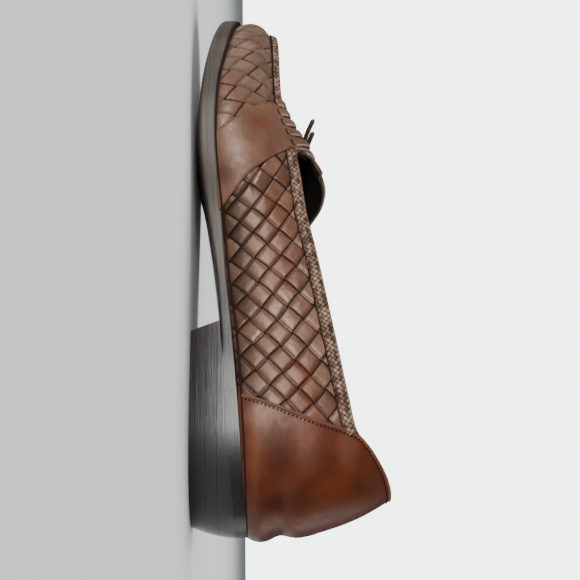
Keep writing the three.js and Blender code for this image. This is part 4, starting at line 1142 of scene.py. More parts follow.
# %% Insole
INSOLE_GAP, INSOLE_STEPS = 1.6, 240
# Rows of the insole: way in from its edge with lift, and share of the way from middle to edge with lift
INSOLE_EDGE_ROWS = [(2.0, 0.1), (0.0, 0.3), (0.0, 2.4), (0.5, 2.8)]
INSOLE_TOP_ROWS = [(0.9, 2.9), (0.6, 2.75), (0.3, 2.65), (0.0, 2.6)]


def insole_edge(column, margin=0.0):
    return feather(column) - outward(column) * (WALL + INSOLE_GAP + margin)


def insole_row(plan_of, lift):
    """Line of the insole at a lift over the sole; plan_of gives its plan for columns."""
    def line(column):
        plan = plan_of(column)
        return np.column_stack([plan, sole_top(plan[:, 0]) + FIT + lift])

    return line


insole = bmesh.new()
layer_loop(insole, [
    *(insole_row(lambda c, m=margin: insole_edge(c, m), lift) for margin, lift in INSOLE_EDGE_ROWS),
    *(insole_row(lambda c, s=share: across_shoe(insole_edge, c, s), lift)
      for share, lift in INSOLE_TOP_ROWS),
], INSOLE_STEPS)
finish_piece("insole_leather", insole, black_lining, ["insole"])

# %% [markdown]
# Strap and counter are smooth calf leather. The shoemaker burnishes it by hand, so its brown is uneven:
# red-brown clouds where the hot wax went in, paler places where the rag rubbed it off. One pale cloud on
# each is a painted highlight. Noise alone would put them anywhere. Here each cloud is placed by the pattern
# map, which gives the distance from the heel and the height up the wall.

# %% Burnished calf leather
FINE_MARKS = linear("#341A10")


def burnished_calf(name, base, deep, clouds, roughness, ior=1.45):
    """Smooth calf: clouds are (along, up, width, height, colour, strength) in millimetres."""
    material, tree = new_material(name)
    spot = add(tree, "SeparateXYZ", {"Vector": add(tree, "UVMap")})
    place = add(tree, "TexCoord").outputs["Object"]
    # Shades drift over about 17 mm, and rag marks are about 4 mm wide
    drift = add(tree, "TexNoise", {"Vector": place, "Scale": 60.0, "Detail": 3.0})
    small = add(tree, "TexNoise", {"Vector": place, "Scale": 260.0, "Detail": 4.0})
    share = add(tree, "MapRange", {"Value": drift, 1: 0.35, 2: 0.7})
    colour = add(tree, "Mix", {0: share, 6: linear(base), 7: linear(deep)}, data_type="RGBA").outputs[2]
    for along, rise, width, height, tone, strength in clouds:
        sides = [
            add(tree, "Math", {0: spot.outputs[k], 1: 1 / size, 2: -at / size}, operation="MULTIPLY_ADD")
            for k, (at, size) in enumerate(((along, width), (rise, height)))
        ]
        spread = add(tree, "CombineXYZ", {0: sides[0], 1: sides[1]})
        away = add(tree, "VectorMath", {0: spread}, operation="LENGTH")
        ragged = add(tree, "Math", {0: drift, 1: 0.7, 2: away.outputs["Value"]}, operation="MULTIPLY_ADD")
        edge = {"Value": ragged, 1: 1.35, 2: 0.45, 3: 0.0, 4: strength}
        mask = add(tree, "MapRange", edge, interpolation_type="SMOOTHSTEP")
        colour = add(tree, "Mix", {0: mask, 6: colour, 7: linear(tone)}, data_type="RGBA").outputs[2]
    fine = add(tree, "MapRange", {"Value": small, 1: 0.35, 2: 0.75, 3: 0.0, 4: 0.25})
    colour = add(tree, "Mix", {0: fine, 6: colour, 7: FINE_MARKS}, data_type="RGBA").outputs[2]
    gloss = add(tree, "MapRange", {"Value": small, 1: 0.3, 2: 0.7, 3: roughness - 0.05, 4: roughness + 0.08})

    # Calf grain is about 0.3 mm wide; it is drawn at 0.6 mm so that it shows
    grain = add(tree, "TexNoise", {"Vector": place, "Scale": 1600.0, "Detail": 3.0})
    bump = add(tree, "Bump", {"Height": grain, "Strength": 0.12, "Distance": 0.0002})
    # Fine creases about 1 mm apart run along the shoe
    stretch = add(tree, "Mapping", {"Vector": add(tree, "UVMap"), "Scale": (0.12, 0.9, 1.0)})
    crease = add(tree, "TexNoise", {"Vector": stretch, "Scale": 1.0, "Detail": 3.0})
    bump = add(tree, "Bump", {"Height": crease, "Strength": 0.3, "Distance": 0.0002, "Normal": bump})
    calf = {"Base Color": colour, "Roughness": gloss, "IOR": ior, "Normal": bump}
    calf["Specular Tint"] = WARM_SHEEN
    add(tree, "OutputMaterial", {"Surface": add(tree, "BsdfPrincipled", calf)})
    return material


# The strap looks a soft, even brown, and the counter a deep red-brown with a mirror of the room in it
# On the strap, the pale grey-brown cloud low on the wall is a painted highlight
strap_calf = burnished_calf("burnished_strap_calf", "#714F3E", "#5E4232", [
    (221, 23, 7, 12, "#66301C", 0.65), (206, 11, 12, 8, "#80675A", 0.35), (193, 4, 9, 9, "#43241A", 0.8),
    (206, 28, 14, 5, "#54342A", 0.6),
], 0.38)
# On the counter, the pale streak low at its front is a painted highlight on the swell over the sole
counter_calf = burnished_calf("burnished_counter_calf", "#5A2C1A", "#482011", [
    (52, 30, 22, 9, "#714638", 0.7), (40, 50, 16, 8, "#714638", 0.5), (46, 18, 16, 10, "#42190D", 0.9),
    (24, 16, 7, 14, "#34160E", 0.8), (28, 44, 14, 16, "#602A10", 0.6), (45, 5, 20, 4, "#6E3616", 0.6),
    (18, 4, 9, 6, "#4A3028", 0.7), (64, 10, 8, 12, "#7A5444", 0.7),
], 0.34, 1.38)
print("calf leathers:", strap_calf.name, counter_calf.name)

# %% [markdown]
# Laces, seams and stitches all follow a line on the last. Such a line is a list of columns and heights, and
# at every point it needs three directions: along the line, across it on the leather, and out of the
# leather. A curve with a bevel would twist freely. So a tube here is a ring of corners carried along the
# line in those directions, and a stitch is a small stretched ball set on it.

# %% Lines on the last
STITCH_SIDES, STITCH_RINGS = 6, 4


def frames_on(column, height, offset):
    """Points along a path on the last with their directions along, across and out."""
    point = shell(column, height, offset)
    out = last_normal(column, height)
    along = np.gradient(point, axis=0)
    along /= np.linalg.norm(along, axis=1, keepdims=True)
    across = np.cross(out, along)
    across /= np.linalg.norm(across, axis=1, keepdims=True)
    return point, along, across, np.cross(along, across)


def even_places(point, step):
    """Places along a path at even steps, as fractions of its index."""
    gone = run_along(point)
    return np.interp(np.linspace(0, gone[-1], int(gone[-1] / step) + 1), gone, np.arange(len(point)))


def even_line(column, height, offset, step):
    """A line's columns, heights and offsets, read at even steps."""
    lines = np.broadcast_arrays(*(np.asarray(values, float) for values in (column, height, offset)))
    at = even_places(shell(*lines), step)
    return [np.interp(at, np.arange(len(values)), values) for values in lines]


def add_tube(shape, point, across, out, width, thick, around):
    """Oval tube along points, with its section set in the directions across and out."""
    steps = len(point) - 1
    width, thick = np.broadcast_to(width, len(point)), np.broadcast_to(thick, len(point))
    gone = run_along(point)

    def place(u, v):
        k = np.rint(u * steps).astype(int)
        turn = 2 * np.pi * v
        side = (np.cos(turn) * width[k] / 2)[:, None] * across[k]
        return point[k] + side + (np.sin(turn) * thick[k] / 2)[:, None] * out[k]

    def marks(u, v):
        return gone[np.rint(u * steps).astype(int)], v * 2 * np.pi

    add_sheet(shape, steps, around, place, marks)


def seam_piece(name, line, width, thick, around, material):
    """One tube along a line of columns, heights and offsets, as a piece of its own."""
    point, _, across, out = frames_on(*line)
    shape = bmesh.new()
    add_tube(shape, point, across, out, width, thick, around)
    finish_piece(name, shape, material, closed=True)


def stitch_row(shape, column, height, offset, step, length, width):
    """Stitches at even steps along a line."""
    for point, along, across, out in zip(*frames_on(*even_line(column, height, offset, step))):
        turn = Matrix((across * width, out * width, along * length)).transposed().to_4x4() * 0.0005
        turn.translation = Vector((point + SHIFT) / 1000)
        turn[3][3] = 1
        bmesh.ops.create_uvsphere(
            shape, u_segments=STITCH_SIDES, v_segments=STITCH_RINGS, radius=1, matrix=turn
        )


print("stitches have", STITCH_SIDES, "sides and", STITCH_RINGS, "rings")

# %% [markdown]
# Seams are sewn with waxed linen thread. It is matt, and its twist shows as a slight change of shade every
# half millimetre. Two strands could be wound round each other, but a stitch takes only a few pixels of the
# picture, so fine noise gives the twist.

# %% Waxed thread


def waxed_thread(name, pale, deep):
    """Twisted thread: a twist about 0.6 mm long, which shows as a slight change of shade."""
    material, tree = new_material(name)
    place = add(tree, "TexCoord").outputs["Object"]
    twist = add(tree, "TexNoise", {"Vector": place, "Scale": 1600.0, "Detail": 1.0})
    tint = add(tree, "Mix", {0: twist, 6: linear(deep), 7: linear(pale)}, data_type="RGBA").outputs[2]
    linen = add(tree, "BsdfPrincipled", {"Base Color": tint, "Roughness": 0.8, "IOR": 1.3})
    add(tree, "OutputMaterial", {"Surface": linen})
    return material


# Tan thread shows as pale dots on the strap. Dark thread makes the dark stitches and seams, and also paints
# shadow lines beside other leathers and the shade inside the lace holes
tan_thread = waxed_thread("tan_waxed_thread", "#86603F", "#4E3220")
dark_thread_and_shade = waxed_thread("dark_waxed_thread_and_painted_shade", "#2A140B", "#120704")
print("threads:", tan_thread.name, dark_thread_and_shade.name)

# %% [markdown]
# The strap goes over the instep from sole to sole. On the real shoe its edges are folded and stitched down
# with tan thread. The sheet therefore rolls down to the weave at both edges, and the stitches are small
# balls sunk into it, because a drawn line would not catch the light.

# %% Strap across the instep
OVERLAY_HIGH = 2.8
# Share of the sheet that is folded under, the level of its underside, and how its edge and its seams sink
STRAP_FOLD, STRAP_UNDER = 0.03, 0.6
ROLL_START, ROLL_DROP = 0.975, 0.35
STITCH_PLACE, GROOVE_WIDTH, GROOVE_DEPTH = 0.95, 0.018, 0.2
STITCH_STEP, STITCH_LONG, STITCH_WIDE, STITCH_SUNK = 2.3, 1.7, 0.6, 0.15


def strap_spot(across, v):
    inside, height = over_ridge(2 * v)
    back, front = read_edge(STRAP_BACK, inside, height), read_edge(STRAP_FRONT, inside, height)
    return on_side(inside, back + (front - back) * across), height


def folded_edges(u, fold):
    """Place across a sheet, and how far it is turned under an edge, from 0 to 1."""
    across = np.clip((u - fold) / (1 - 2 * fold), 0, 1)
    return across, np.clip(np.maximum((fold - u) / fold, (u - 1 + fold) / fold), 0, 1)


def strap_lift(across):
    """The strap rolls down at its edges and is pressed down a little along its seams."""
    edge = np.abs(2 * across - 1)
    groove = GROOVE_DEPTH * np.exp(-(((edge - STITCH_PLACE) / GROOVE_WIDTH) ** 2))
    return OVERLAY_HIGH - ROLL_DROP * smoothstep(ROLL_START, 1.0, edge) - groove


def strap_sheet(u, v):
    across, under = folded_edges(u, STRAP_FOLD)
    lift = strap_lift(across)
    return shell(*strap_spot(across, v), lift - (lift - STRAP_UNDER) * under)


def leather_marks(column, height):
    """Pattern map of the smooth leathers: distance from the heel and height up the wall."""
    return np.abs(heel_distance(column)), wall_run(column, height)


def strap_marks(u, v):
    return leather_marks(*strap_spot(folded_edges(u, STRAP_FOLD)[0], v))


strap = bmesh.new()
add_sheet(strap, 140, 220, strap_sheet, strap_marks, flip=True)
finish_piece("strap_leather", strap, strap_calf, ["saddle_strap"])

strap_seams = bmesh.new()
seam_run = np.linspace(0.01, 0.99, 200)
for side in (-1, 1):
    seam = strap_spot(np.full_like(seam_run, (1 + side * STITCH_PLACE) / 2), seam_run)
    stitch_row(strap_seams, *seam, OVERLAY_HIGH - STITCH_SUNK, STITCH_STEP, STITCH_LONG, STITCH_WIDE)
finish_piece("strap_stitches", strap_seams, tan_thread)

# %% [markdown]
# The counter is a stiff cap round the heel. A stiff cap keeps the marks of the last: it flares a little
# over the sole, and hands have left a soft dent above that. Both are added to the sheet as smooth hollows
# and swells, in the shoe's own millimetres. A sculpting brush could do it too, but then their size would
# not be known.

# %% Heel counter
COUNTER_CEILING, COUNTER_FOLD, COUNTER_TOP, COUNTER_UNDER = 0.75, 0.01, 0.98, 0.4
# Soft forms: distance from the heel, height up the wall, spread along, spread up, swell
COUNTER_FORMS = [
    (0, 6, 70, 5, 0.7), (0, 16, 17, 5.5, -2.5), (26, 15.5, 15, 6, -1.5), (-26, 15.5, 15, 6, -1.5),
    (48, 20, 18, 12, -0.4), (-48, 20, 18, 12, -0.4), (0, 56, 25, 14, 0.4),
]


def counter_limit(inside, height):
    return read_edge(COUNTER_FRONT, inside, height)


counter_shares = np.linspace(-1, 1, 241)
counter_cuts = cut_heights(counter_shares, counter_limit, COUNTER_CEILING)


def counter_top(share):
    """Height of the counter's upper edge."""
    return np.interp(share, counter_shares, counter_cuts)


def counter_form(column, height):
    """How far the counter stands off the last, with its swells and dents."""
    along, rise = heel_distance(column), wall_run(column, height)
    lift = 0 * along
    for p, q, wide, tall, swell in COUNTER_FORMS:
        lift = lift + swell * np.exp(-(((along - p) / wide) ** 2) - ((rise - q) / tall) ** 2)
    return OVERLAY_HIGH + lift


def counter_spot(u, v):
    """Column and height on the counter, and how far the sheet is turned under its edges."""
    across, under = folded_edges(u, COUNTER_FOLD)
    share = 2 * across - 1
    height = np.clip(v / COUNTER_TOP, 0, 1) * counter_top(share)
    under = np.maximum(under, np.clip((v - COUNTER_TOP) / (1 - COUNTER_TOP), 0, 1))
    return share * counter_limit(share >= 0, height), height, under


def counter_sheet(u, v):
    column, height, under = counter_spot(u, v)
    lift = counter_form(column, height)
    return shell(column, height, lift - (lift - COUNTER_UNDER) * under)


counter = bmesh.new()
add_sheet(counter, 260, 100, counter_sheet, lambda u, v: leather_marks(*counter_spot(u, v)[:2]), flip=True)
finish_piece("counter_leather", counter, counter_calf, ["heel_counter"])

# %% [markdown]
# Where the upper is drawn down to the sole, all leathers end in one thin dark line: the shadow in the narrow
# gap between upper and sole. A thin dark tube that follows the lower edge of the leathers all the way round
# paints that shadow, and it needs no drawn texture.

# %% Feather shadow line
FEATHER_SHADOW_HEIGHT, FEATHER_SHADOW_SUNK = 0.012, 0.2
# It starts and ends at the waist, a quarter of the way round
feather_column = np.linspace(-COLUMNS / 4, COLUMNS * 3 / 4, 900)
feather_offset = counter_form(feather_column, np.full(900, FEATHER_SHADOW_HEIGHT)) - FEATHER_SHADOW_SUNK
feather_line = even_line(feather_column, FEATHER_SHADOW_HEIGHT, feather_offset, 0.9)
# A dark tube paints the shadow in the gap where upper and sole meet
seam_piece("feather_shadow_line", feather_line, 1.1, 1.3, 8, dark_thread_and_shade)

# %% [markdown]
# The edge of the counter is bound by a narrow paler lip, sewn down with dark whip stitches close behind it.
# Lip and stitches use the same way round the edge: up the front on one side, along the top round the heel
# and down the other side. It could be picked from the mesh's own edge loop, but the stitches lie further in
# than the lip. The back seam is a thin dark cord up the middle of the heel, nearly straight, as hand-pulled
# seams are.

# %% Lip, stitches and back seam of the counter
SIDE_POINTS, TOP_POINTS = 160, 400
# Millimetres of wall in one whole height, how near its ends the edge turns in, and points it is evened over
WALL_MM, CORNER_POWER, ROUNDING = 125, 40, 25
LIP_INSET, LIP_SUNK, LIP_WIDTH = 0.7, 0.35, 1.9
WHIP_INSET, WHIP_PROUD, WHIP_STEP, WHIP_LONG, WHIP_WIDE = 2.3, 0.05, 2.0, 1.25, 1.0
BACK_SEAM_WANDER, BACK_SEAM_SUNK, BACK_SEAM_WIDE, BACK_SEAM_THICK = 0.05, 0.1, 0.9, 0.7


def counter_edge(inset):
    """Way round the counter's edge, at a distance inside it in millimetres: columns and heights."""
    side = np.linspace(0.01, 1, SIDE_POINTS)
    ones = np.ones(SIDE_POINTS)
    share = np.concatenate([-ones, 2 * np.linspace(0, 1, TOP_POINTS)[1:-1] - 1, ones])
    top = counter_top(share)
    height = np.concatenate([side, np.ones(TOP_POINTS - 2), side[::-1]]) * top
    room = counter_limit(share >= 0, height) * COLUMN_WIDTH
    height = np.minimum(height, top - inset / WALL_MM)
    column = share * counter_limit(share >= 0, height) * (1 - inset / room * np.abs(share) ** CORNER_POWER)
    evened = np.ones(ROUNDING) / ROUNDING
    padded = [np.pad(line, ROUNDING // 2, mode="edge") for line in (column, height)]
    return [np.convolve(line, evened, mode="valid") for line in padded]


# The lip is the counter's own calf with the wax rubbed off, so it looks paler and duller
lip_calf = burnished_calf("burnished_lip_calf", "#6E4634", "#54321F", [], 0.4)
lip_edge = counter_edge(LIP_INSET)
lip_line = even_line(*lip_edge, counter_form(*lip_edge) - LIP_SUNK, 0.6)
seam_piece("counter_lip", lip_line, LIP_WIDTH, LIP_WIDTH, 12, lip_calf)

counter_seams = bmesh.new()
whip_edge = counter_edge(WHIP_INSET)
stitch_row(counter_seams, *whip_edge, counter_form(*whip_edge) + WHIP_PROUD, WHIP_STEP, WHIP_LONG, WHIP_WIDE)
finish_piece("counter_stitches", counter_seams, dark_thread_and_shade)

seam_height = np.linspace(0.005, 0.26, 60)
seam_column = BACK_SEAM_WANDER * np.sin(30 * seam_height) - 0.1
seam_line = even_line(seam_column, seam_height, counter_form(seam_column, seam_height) - BACK_SEAM_SUNK, 0.6)
seam_piece(
    "counter_back_seam", seam_line, BACK_SEAM_WIDE, BACK_SEAM_THICK, 8, dark_thread_and_shade
)

# %% [markdown]
# The collar has a flat plaited edge, and a thicker plait runs round the plug of the toe. They are plaited
# from laces less than two millimetres wide, so single strands would be too fine to see. A half-round band
# does it: it is raised by the same rule as the big weave, only finer, and takes the same kind of leather.

# %% Plaited bands
# The laces of the plait look pale on top; the near black between them is painted shade
plait_calf = woven_calf(
    "plaited_calf_lace", "#3E2A1F", "#A4846E", "#4A2A1C", "#0C0503",
    ends_dark=0.6, near_soft=0.17, far_dark=1.0, far_soft=0.17, cloud_mm=9.0,
)
BRAID_LOW, BRAID_HIGH, BRAID_RELIEF, BRAID_STEP, BRAID_ROWS = 0.3, 3.5, 0.6, 0.45, 20
# The way over the half-round band is longer than the band is wide
BRAID_ROUND = 1.3
THREAD_LIFT, THREAD_WIDE, THREAD_THICK = 1.0, 0.9, 1.1


def braid_band(name, column, height, width, strip, node, fullness):
    """Half-round band of fine plaited strips along a line.

    A dark thread on each side also paints the shadow line at the band's edges.
    """
    point, _, across, out = frames_on(*even_line(column, height, 0.0, BRAID_STEP))
    steps = len(point) - 1
    run = run_along(point)

    def marks(u, v):
        gone, side = run[np.rint(u * steps).astype(int)], (v - 0.5) * width * BRAID_ROUND
        return (gone + side) / strip, (gone - side) / strip

    def place(u, v):
        k = np.rint(u * steps).astype(int)
        bow = np.sin(np.pi * v)
        rise = BRAID_LOW + (BRAID_HIGH - BRAID_LOW) * bow**fullness
        rise = rise + pad_height(*marks(u, v), BRAID_RELIEF) * bow
        return point[k] - across[k] * (np.cos(np.pi * v) * width / 2)[:, None] + out[k] * rise[:, None]

    band = bmesh.new()
    add_sheet(band, steps, BRAID_ROWS, place, marks)
    finish_piece(name, band, plait_calf, [node])
    # Each dark thread is partly a real thread and partly a painted shadow line where the band meets the
    # weave
    thread = bmesh.new()
    for side in (-1, 1):
        beside = point + across * (side * width / 2) + out * THREAD_LIFT
        add_tube(thread, beside, across, out, THREAD_WIDE, THREAD_THICK, 8)
    finish_piece(name + "_thread", thread, dark_thread_and_shade, closed=True)
    print(name, round(run[-1], 1), "mm long")


print("plait leather:", plait_calf.name)

# %% [markdown]
# The collar's plait lies a few millimetres below the topline, and the thicker one on the seam between plug
# and vamp. Both lines could be drawn on the mesh by hand, but the topline is only known in the side view.
# So the place on the last that each point of that view shows is looked for, by halving the range of
# heights.

# %% Plaits of collar and plug


def side_place(inside, x, z):
    """Column and height of the last that the side view shows at x, z."""
    low, high = np.full_like(x, 0.02), np.full_like(x, 0.98)
    for _ in range(24):
        middle = (low + high) / 2
        column = column_where(inside, middle, lambda p: p[..., 0] < x)
        under = last_point(on_side(inside, column), middle)[..., 2] < z
        low, high = np.where(under, middle, low), np.where(under, high, middle)
    return on_side(inside, column_where(inside, low, lambda p: p[..., 0] < x)), low


def collar_path(inside, drop):
    """Path below the topline on one side, from the counter's edge to the strap's edge."""
    x = np.linspace(-110, 58, 240)
    level = top_inside if inside else top_outside
    slope = level(x + 0.5) - level(x - 0.5)
    down = drop / np.hypot(1, slope)
    column, height = side_place(inside, x + down * slope, level(x) - down)
    x, _, z = last_point(column, height).T
    keep = (x < strap_back(z) + 1.0) & (x > counter_front(z) - 1.0)
    return column[keep], height[keep]


COLLAR_DROP, COLLAR_WIDTH, COLLAR_LACE, COLLAR_FULLNESS = 3.2, 6.4, 2.6, 0.6
for name, inside, node in (
    ("collar_braid_inner", True, "collar_braid_medial"),
    ("collar_braid_outer", False, "collar_braid_lateral"),
):
    braid_band(name, *collar_path(inside, COLLAR_DROP), COLLAR_WIDTH, COLLAR_LACE, node, COLLAR_FULLNESS)

APRON_WIDTH, APRON_LACE, APRON_FULLNESS, APRON_DROP = 7.2, 2.8, 0.9, 0.02
apron_ends = [on_side(inside, read_edge(STRAP_FRONT, inside, SEAM_HEIGHT)) for inside in (True, False)]
apron_line = np.linspace(*apron_ends, 200), np.full(200, SEAM_HEIGHT - APRON_DROP)
braid_band("apron_plait", *apron_line, APRON_WIDTH, APRON_LACE, "apron_seam", APRON_FULLNESS)

# %% [markdown]
# At the very top of the collar, wall and lining are bound together. From inside the shoe this shows as a
# thin brown rim round the black opening. A bevel of the cut edge would be too even, so one flat tube
# follows the cut edge of the quarters. In front it goes on as a thicker fold of leather, over the throat
# from side to side.

# %% Collar rim and throat fold
RIM_WIDE, RIM_THICK, RIM_OFFSET = 1.5, 3.6, -0.3
FOLD_WIDE, FOLD_THICK = 2.6, 3.4
SIDE_STEPS, RIDGE_STEPS, NEAR_RIDGE = 5, 12, 0.99
# Rim leather looks dark and dull; the fold is a shade paler and a little smoother
rim_calf = burnished_calf("burnished_rim_calf", "#33271A", "#1C140D", [], 0.5)
fold_calf = burnished_calf("burnished_fold_calf", "#5A4030", "#3A281C", [], 0.45)

open_edge = quarter_cuts < QUARTER_CEILING - 0.001
rim_share, rim_height = quarter_shares[open_edge], quarter_cuts[open_edge]
rim_column = rim_share * strap_middle(rim_share >= 0, rim_height)
rim_line = even_line(rim_column, rim_height, RIM_OFFSET, 0.7)
seam_piece("collar_rim", rim_line, RIM_WIDE, RIM_THICK, 12, rim_calf)

fold_column = np.concatenate([
    np.full(SIDE_STEPS, rim_column[-1]),
    np.linspace(rim_column[-1], -rim_column[0], RIDGE_STEPS),
    np.full(SIDE_STEPS, rim_column[0]),
])
fold_height = np.concatenate([
    np.linspace(rim_height[-1], NEAR_RIDGE, SIDE_STEPS),
    np.ones(RIDGE_STEPS),
    np.linspace(NEAR_RIDGE, rim_height[0], SIDE_STEPS),
])
fold_line = fold_column, fold_height, np.linspace(0.8, 0.2, len(fold_column))
taper = np.linspace(1, 0.8, len(fold_column))
seam_piece("throat_fold", fold_line, FOLD_WIDE * taper, FOLD_THICK * taper, 12, fold_calf)

# %% [markdown]
# The lace of the tassels runs in and out along the strap's upper edges, which shows as five flat wraps on
# each side. One long lace could be threaded through holes, but most of it would be hidden. So each wrap is
# a short flat tube that comes out of a hole, lies over the strap and goes in again. Each hole is a pair of
# small dark balls on the strap, painted as the shade inside it.

# %% Lace wraps
WRAP_PLACES = np.linspace(77, 53.5, 5)
WRAP_LOW, WRAP_HIGH, WRAP_LEAN, WRAP_FRONT = 0.56, 0.93, 11.0, 84
WRAP_WIDTH, WRAP_THICK, WRAP_SUNK, WRAP_RISE = 5.0, 1.9, 1.1, 2.0
HOLE_HALF, HOLE_DROP, HOLE_LONG, HOLE_WIDE = 0.16, 0.012, 1.6, 1.1


def wrap_strip(shape, inside, x):
    """One wrap: a flat tube that comes out of its hole and lies over the strap's upper edge."""
    share = np.linspace(0, 1, 40)
    height = WRAP_LOW + (WRAP_HIGH - WRAP_LOW) * share
    lean = np.minimum(x + WRAP_LEAN * share, WRAP_FRONT)
    column = on_side(inside, column_where(inside, height, lambda p: p[..., 0] < lean))
    arch = np.sin(np.pi * np.clip(share * 0.97 + 0.03, 0, 1))
    point, _, across, out = frames_on(column, height, OVERLAY_HIGH - WRAP_SUNK + WRAP_RISE * arch**0.35)
    add_tube(shape, point, across, out, WRAP_WIDTH * (0.7 + 0.3 * arch**0.4), WRAP_THICK, 14)
    return column[0], height[0]


wraps, hole_shade = bmesh.new(), bmesh.new()
for inside in (True, False):
    for x in WRAP_PLACES:
        column, height = wrap_strip(wraps, inside, x)
        # Two small dark balls paint the shade inside each hole
        pair = column + np.array([-HOLE_HALF, HOLE_HALF])
        stitch_row(hole_shade, pair, height - HOLE_DROP, OVERLAY_HIGH, 1.0, HOLE_LONG, HOLE_WIDE)
finish_piece("lace_wraps", wraps, strap_calf, ["saddle_strap"], closed=True)
finish_piece("lace_hole_shade", hole_shade, dark_thread_and_shade)

# %% [markdown]
# The tassels hang on the outer side of the instep, from a lace of dark dyed calf. Each is a wrapped head
# with a fringe of cut strips. A cone with grooves would pass from far away, but here the head is a ribbed
# barrel, and every strip of the fringe is its own flat tube, a little bent, so that the fringe looks cut
# and not moulded.

# %% Tassels
# Dark dyed calf lace is semi-matt, clouded over about 5 mm, with a fine grain of 0.6 mm
tassel_calf = dyed_calf("dark_tassel_calf", "#1C110D", "#3A241B", 220.0, 3.0, 1600.0, 0.48, 1.48)
KNOT_X, KNOT_HEIGHT, KNOT_RADIUS = 71.0, 0.8, 3.4
LACE, LACE_START, LACE_RUN, LACE_TUCK = 2.4, 2.0, 9.0, 2.0
HEAD_LENGTH, HEAD_RADIUS = 9.0, 3.8
FRINGE_LENGTH, FRINGE_SPREAD, FRINGE_THICK, FRINGE_STRIPS, FRINGE_TUCK = 24.0, 6.0, 3.6, 12, 1.5
OVER_STRAP = OVERLAY_HIGH + FIT + 0.2
OVER_WRAPS = OVERLAY_HIGH + WRAP_RISE + FIT + 0.2
LACE_LIFT = OVER_WRAPS + HEAD_RADIUS * 0.8
TASSEL_STEP = 0.75


def hang_path(x):
    """Way of a tassel down the outer wall, at even steps from the knot: columns and heights."""
    height = np.arange(KNOT_HEIGHT, 0.1, -0.002)
    aim = KNOT_X + (x - KNOT_X) * smoothstep(0, 0.16, KNOT_HEIGHT - height)
    column = COLUMNS - column_where(False, height, lambda p: p[..., 0] < aim)
    at = even_places(last_point(column, height), TASSEL_STEP)
    return [np.interp(at, np.arange(len(height)), values) for values in (column, height)]


def barrel(run):
    """Width of the head along it, with the ribs of its wrapping."""
    swell = np.sin(np.pi * np.clip(run, 0, 1)) ** 0.7
    return 2 * HEAD_RADIUS * (0.72 + 0.34 * swell + 0.03 * np.sin(22 * run))


def fringe_way(order, run):
    """Lift and sway of one strip of the fringe along it."""
    settle = smoothstep(0, 0.7, run)
    lift = (OVER_WRAPS + HEAD_RADIUS) * (1 - settle) + (OVER_STRAP + FRINGE_THICK / 2) * settle
    lift = lift + (order % 2 - 0.5) * 1.9 + 0.35 * np.sin(3 * run + order)
    middle = (FRINGE_STRIPS - 1) / 2
    spread = HEAD_RADIUS * 0.75 * (1 - run) + FRINGE_SPREAD * run
    return lift, (order - middle) / middle * 0.85 * spread + 0.3 * np.sin(4 * run + 2 * order)


def tassel(name, x):
    """Lace, head and fringe of one tassel, which hangs towards x."""
    column, height = hang_path(x)
    point, _, across, out = frames_on(column, height, np.zeros(len(column)))
    shape = bmesh.new()

    def part(start, end, way, width, thick, around):
        """Tube between two distances from the knot; way, width and thick follow the run from 0 to 1."""
        k = np.arange(int(round(start / TASSEL_STEP)), int(round(end / TASSEL_STEP)) + 1)
        run = np.linspace(0, 1, len(k))
        lift, sway = (np.broadcast_to(values, len(k))[:, None] for values in way(run))
        line = point[k] + out[k] * lift + across[k] * sway
        add_tube(shape, line, across[k], out[k], width(run), thick(run), around)

    head_end = LACE_RUN + HEAD_LENGTH
    part(LACE_START, LACE_RUN + LACE_TUCK, lambda r: (LACE_LIFT, 0.0), lambda r: LACE, lambda r: LACE, 12)
    part(LACE_RUN, head_end, lambda r: (OVER_WRAPS + HEAD_RADIUS, 0.0), barrel, barrel, 20)
    for order in range(FRINGE_STRIPS):
        end = head_end + FRINGE_LENGTH - (order * 5 % 4) * 0.9
        start = head_end - FRINGE_TUCK
        part(start, end, lambda r: fringe_way(order, r), lambda r: 1.5 + 0.5 * r, lambda r: 1.0, 8)
    finish_piece(name + "_fringe", shape, tassel_calf, [name], closed=True)


tassel("tassel_front", 80.0)
tassel("tassel_rear", 65.0)
print("tassel length:", LACE_RUN + HEAD_LENGTH + FRINGE_LENGTH, "mm")

# %% [markdown]
# A knot holds the lace together, and its two short ends stand up over the instep. A real knot could be
# traced as one long tube, but pulled tight it looks like a small ribbed ball. So a ball is stretched and
# given ribs, and each end is a tube along a bent line, rounded off at its tip.

# %% Knot of the tassels
KNOT_STRETCH, KNOT_SEAT = (1.3, 0.95, 0.9), 0.6
RIB_DEPTH, RIB_COUNT, RIB_SLANT = 0.05, 5, 900
END_SWELL, END_STEPS, TIP_LENGTH, TIP_SMALLEST = 1.2, 28, 0.22, 0.02
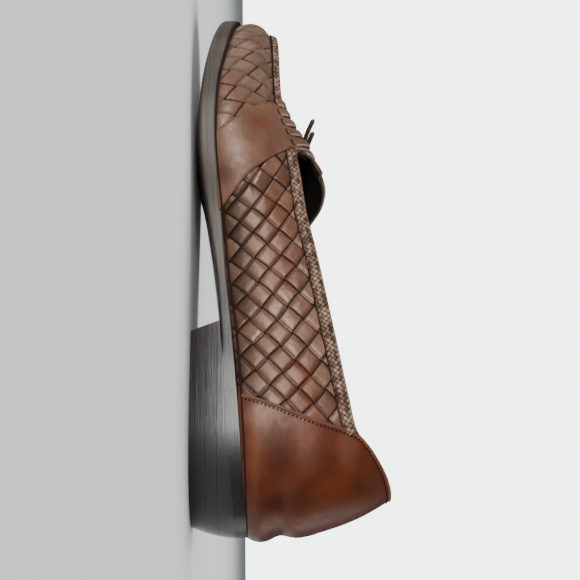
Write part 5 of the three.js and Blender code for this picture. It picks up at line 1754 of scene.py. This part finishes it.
# Points of both ends from the middle of the knot, in millimetres
LACE_ENDS = [
    [(6, 5, 3), (11, 9, 5.5), (16, 13, 8.5)],
    [(0.5, 5, 3.5), (3, 9, 5.5), (7.5, 13, 8)],
]
knot_height = np.array([KNOT_HEIGHT])
knot_column = COLUMNS - column_where(False, knot_height, lambda p: p[..., 0] < KNOT_X)
knot_middle = shell(knot_column, knot_height, np.array([LACE_LIFT - KNOT_SEAT]))[0]

knot = bmesh.new()
ball = bmesh.ops.create_uvsphere(knot, u_segments=24, v_segments=16, radius=KNOT_RADIUS / 1000)["verts"]
bmesh.ops.scale(knot, vec=KNOT_STRETCH, verts=ball)
for corner in ball:
    turn = math.atan2(corner.co.z, corner.co.y)
    corner.co *= 1 + RIB_DEPTH * math.sin(RIB_COUNT * turn + corner.co.x * RIB_SLANT)
bmesh.ops.translate(knot, vec=Vector((knot_middle + SHIFT) / 1000), verts=ball)
for ends in LACE_ENDS:
    bend = np.vstack([[0, 0, 0], ends]) + knot_middle
    t = np.linspace(0, len(ends), END_STEPS)
    line = np.column_stack([smooth_curve(list(enumerate(values)), 1)(t) for values in bend.T])
    along = np.gradient(line, axis=0)
    along /= np.linalg.norm(along, axis=1, keepdims=True)
    across = np.cross(along, [0, 0, 1.0])
    across /= np.linalg.norm(across, axis=1, keepdims=True)
    thick = END_SWELL * LACE * np.sqrt(np.clip((len(ends) - t) / TIP_LENGTH, TIP_SMALLEST, 1))
    add_tube(knot, line, across, np.cross(across, along), thick, thick, 12)
finish_piece("tassel_knot_lace", knot, tassel_calf, ["tassel_knot"], closed=True)

# %% [markdown]
# At the end the dressed shoe is measured. It has to fill the same box as the solids, or it would not fit
# where the part is used. Both boxes are put side by side in one table, and the dressed one is printed.

# %% Sizes
visual_low, visual_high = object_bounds()
sizes = {
    "cad": [[float(c) for c in cad_low], [float(c) for c in cad_high]],
    "visual": [[float(c) for c in visual_low], [float(c) for c in visual_high]],
}
print("visual box in metres:", [round(c, 4) for corner in sizes["visual"] for c in corner])
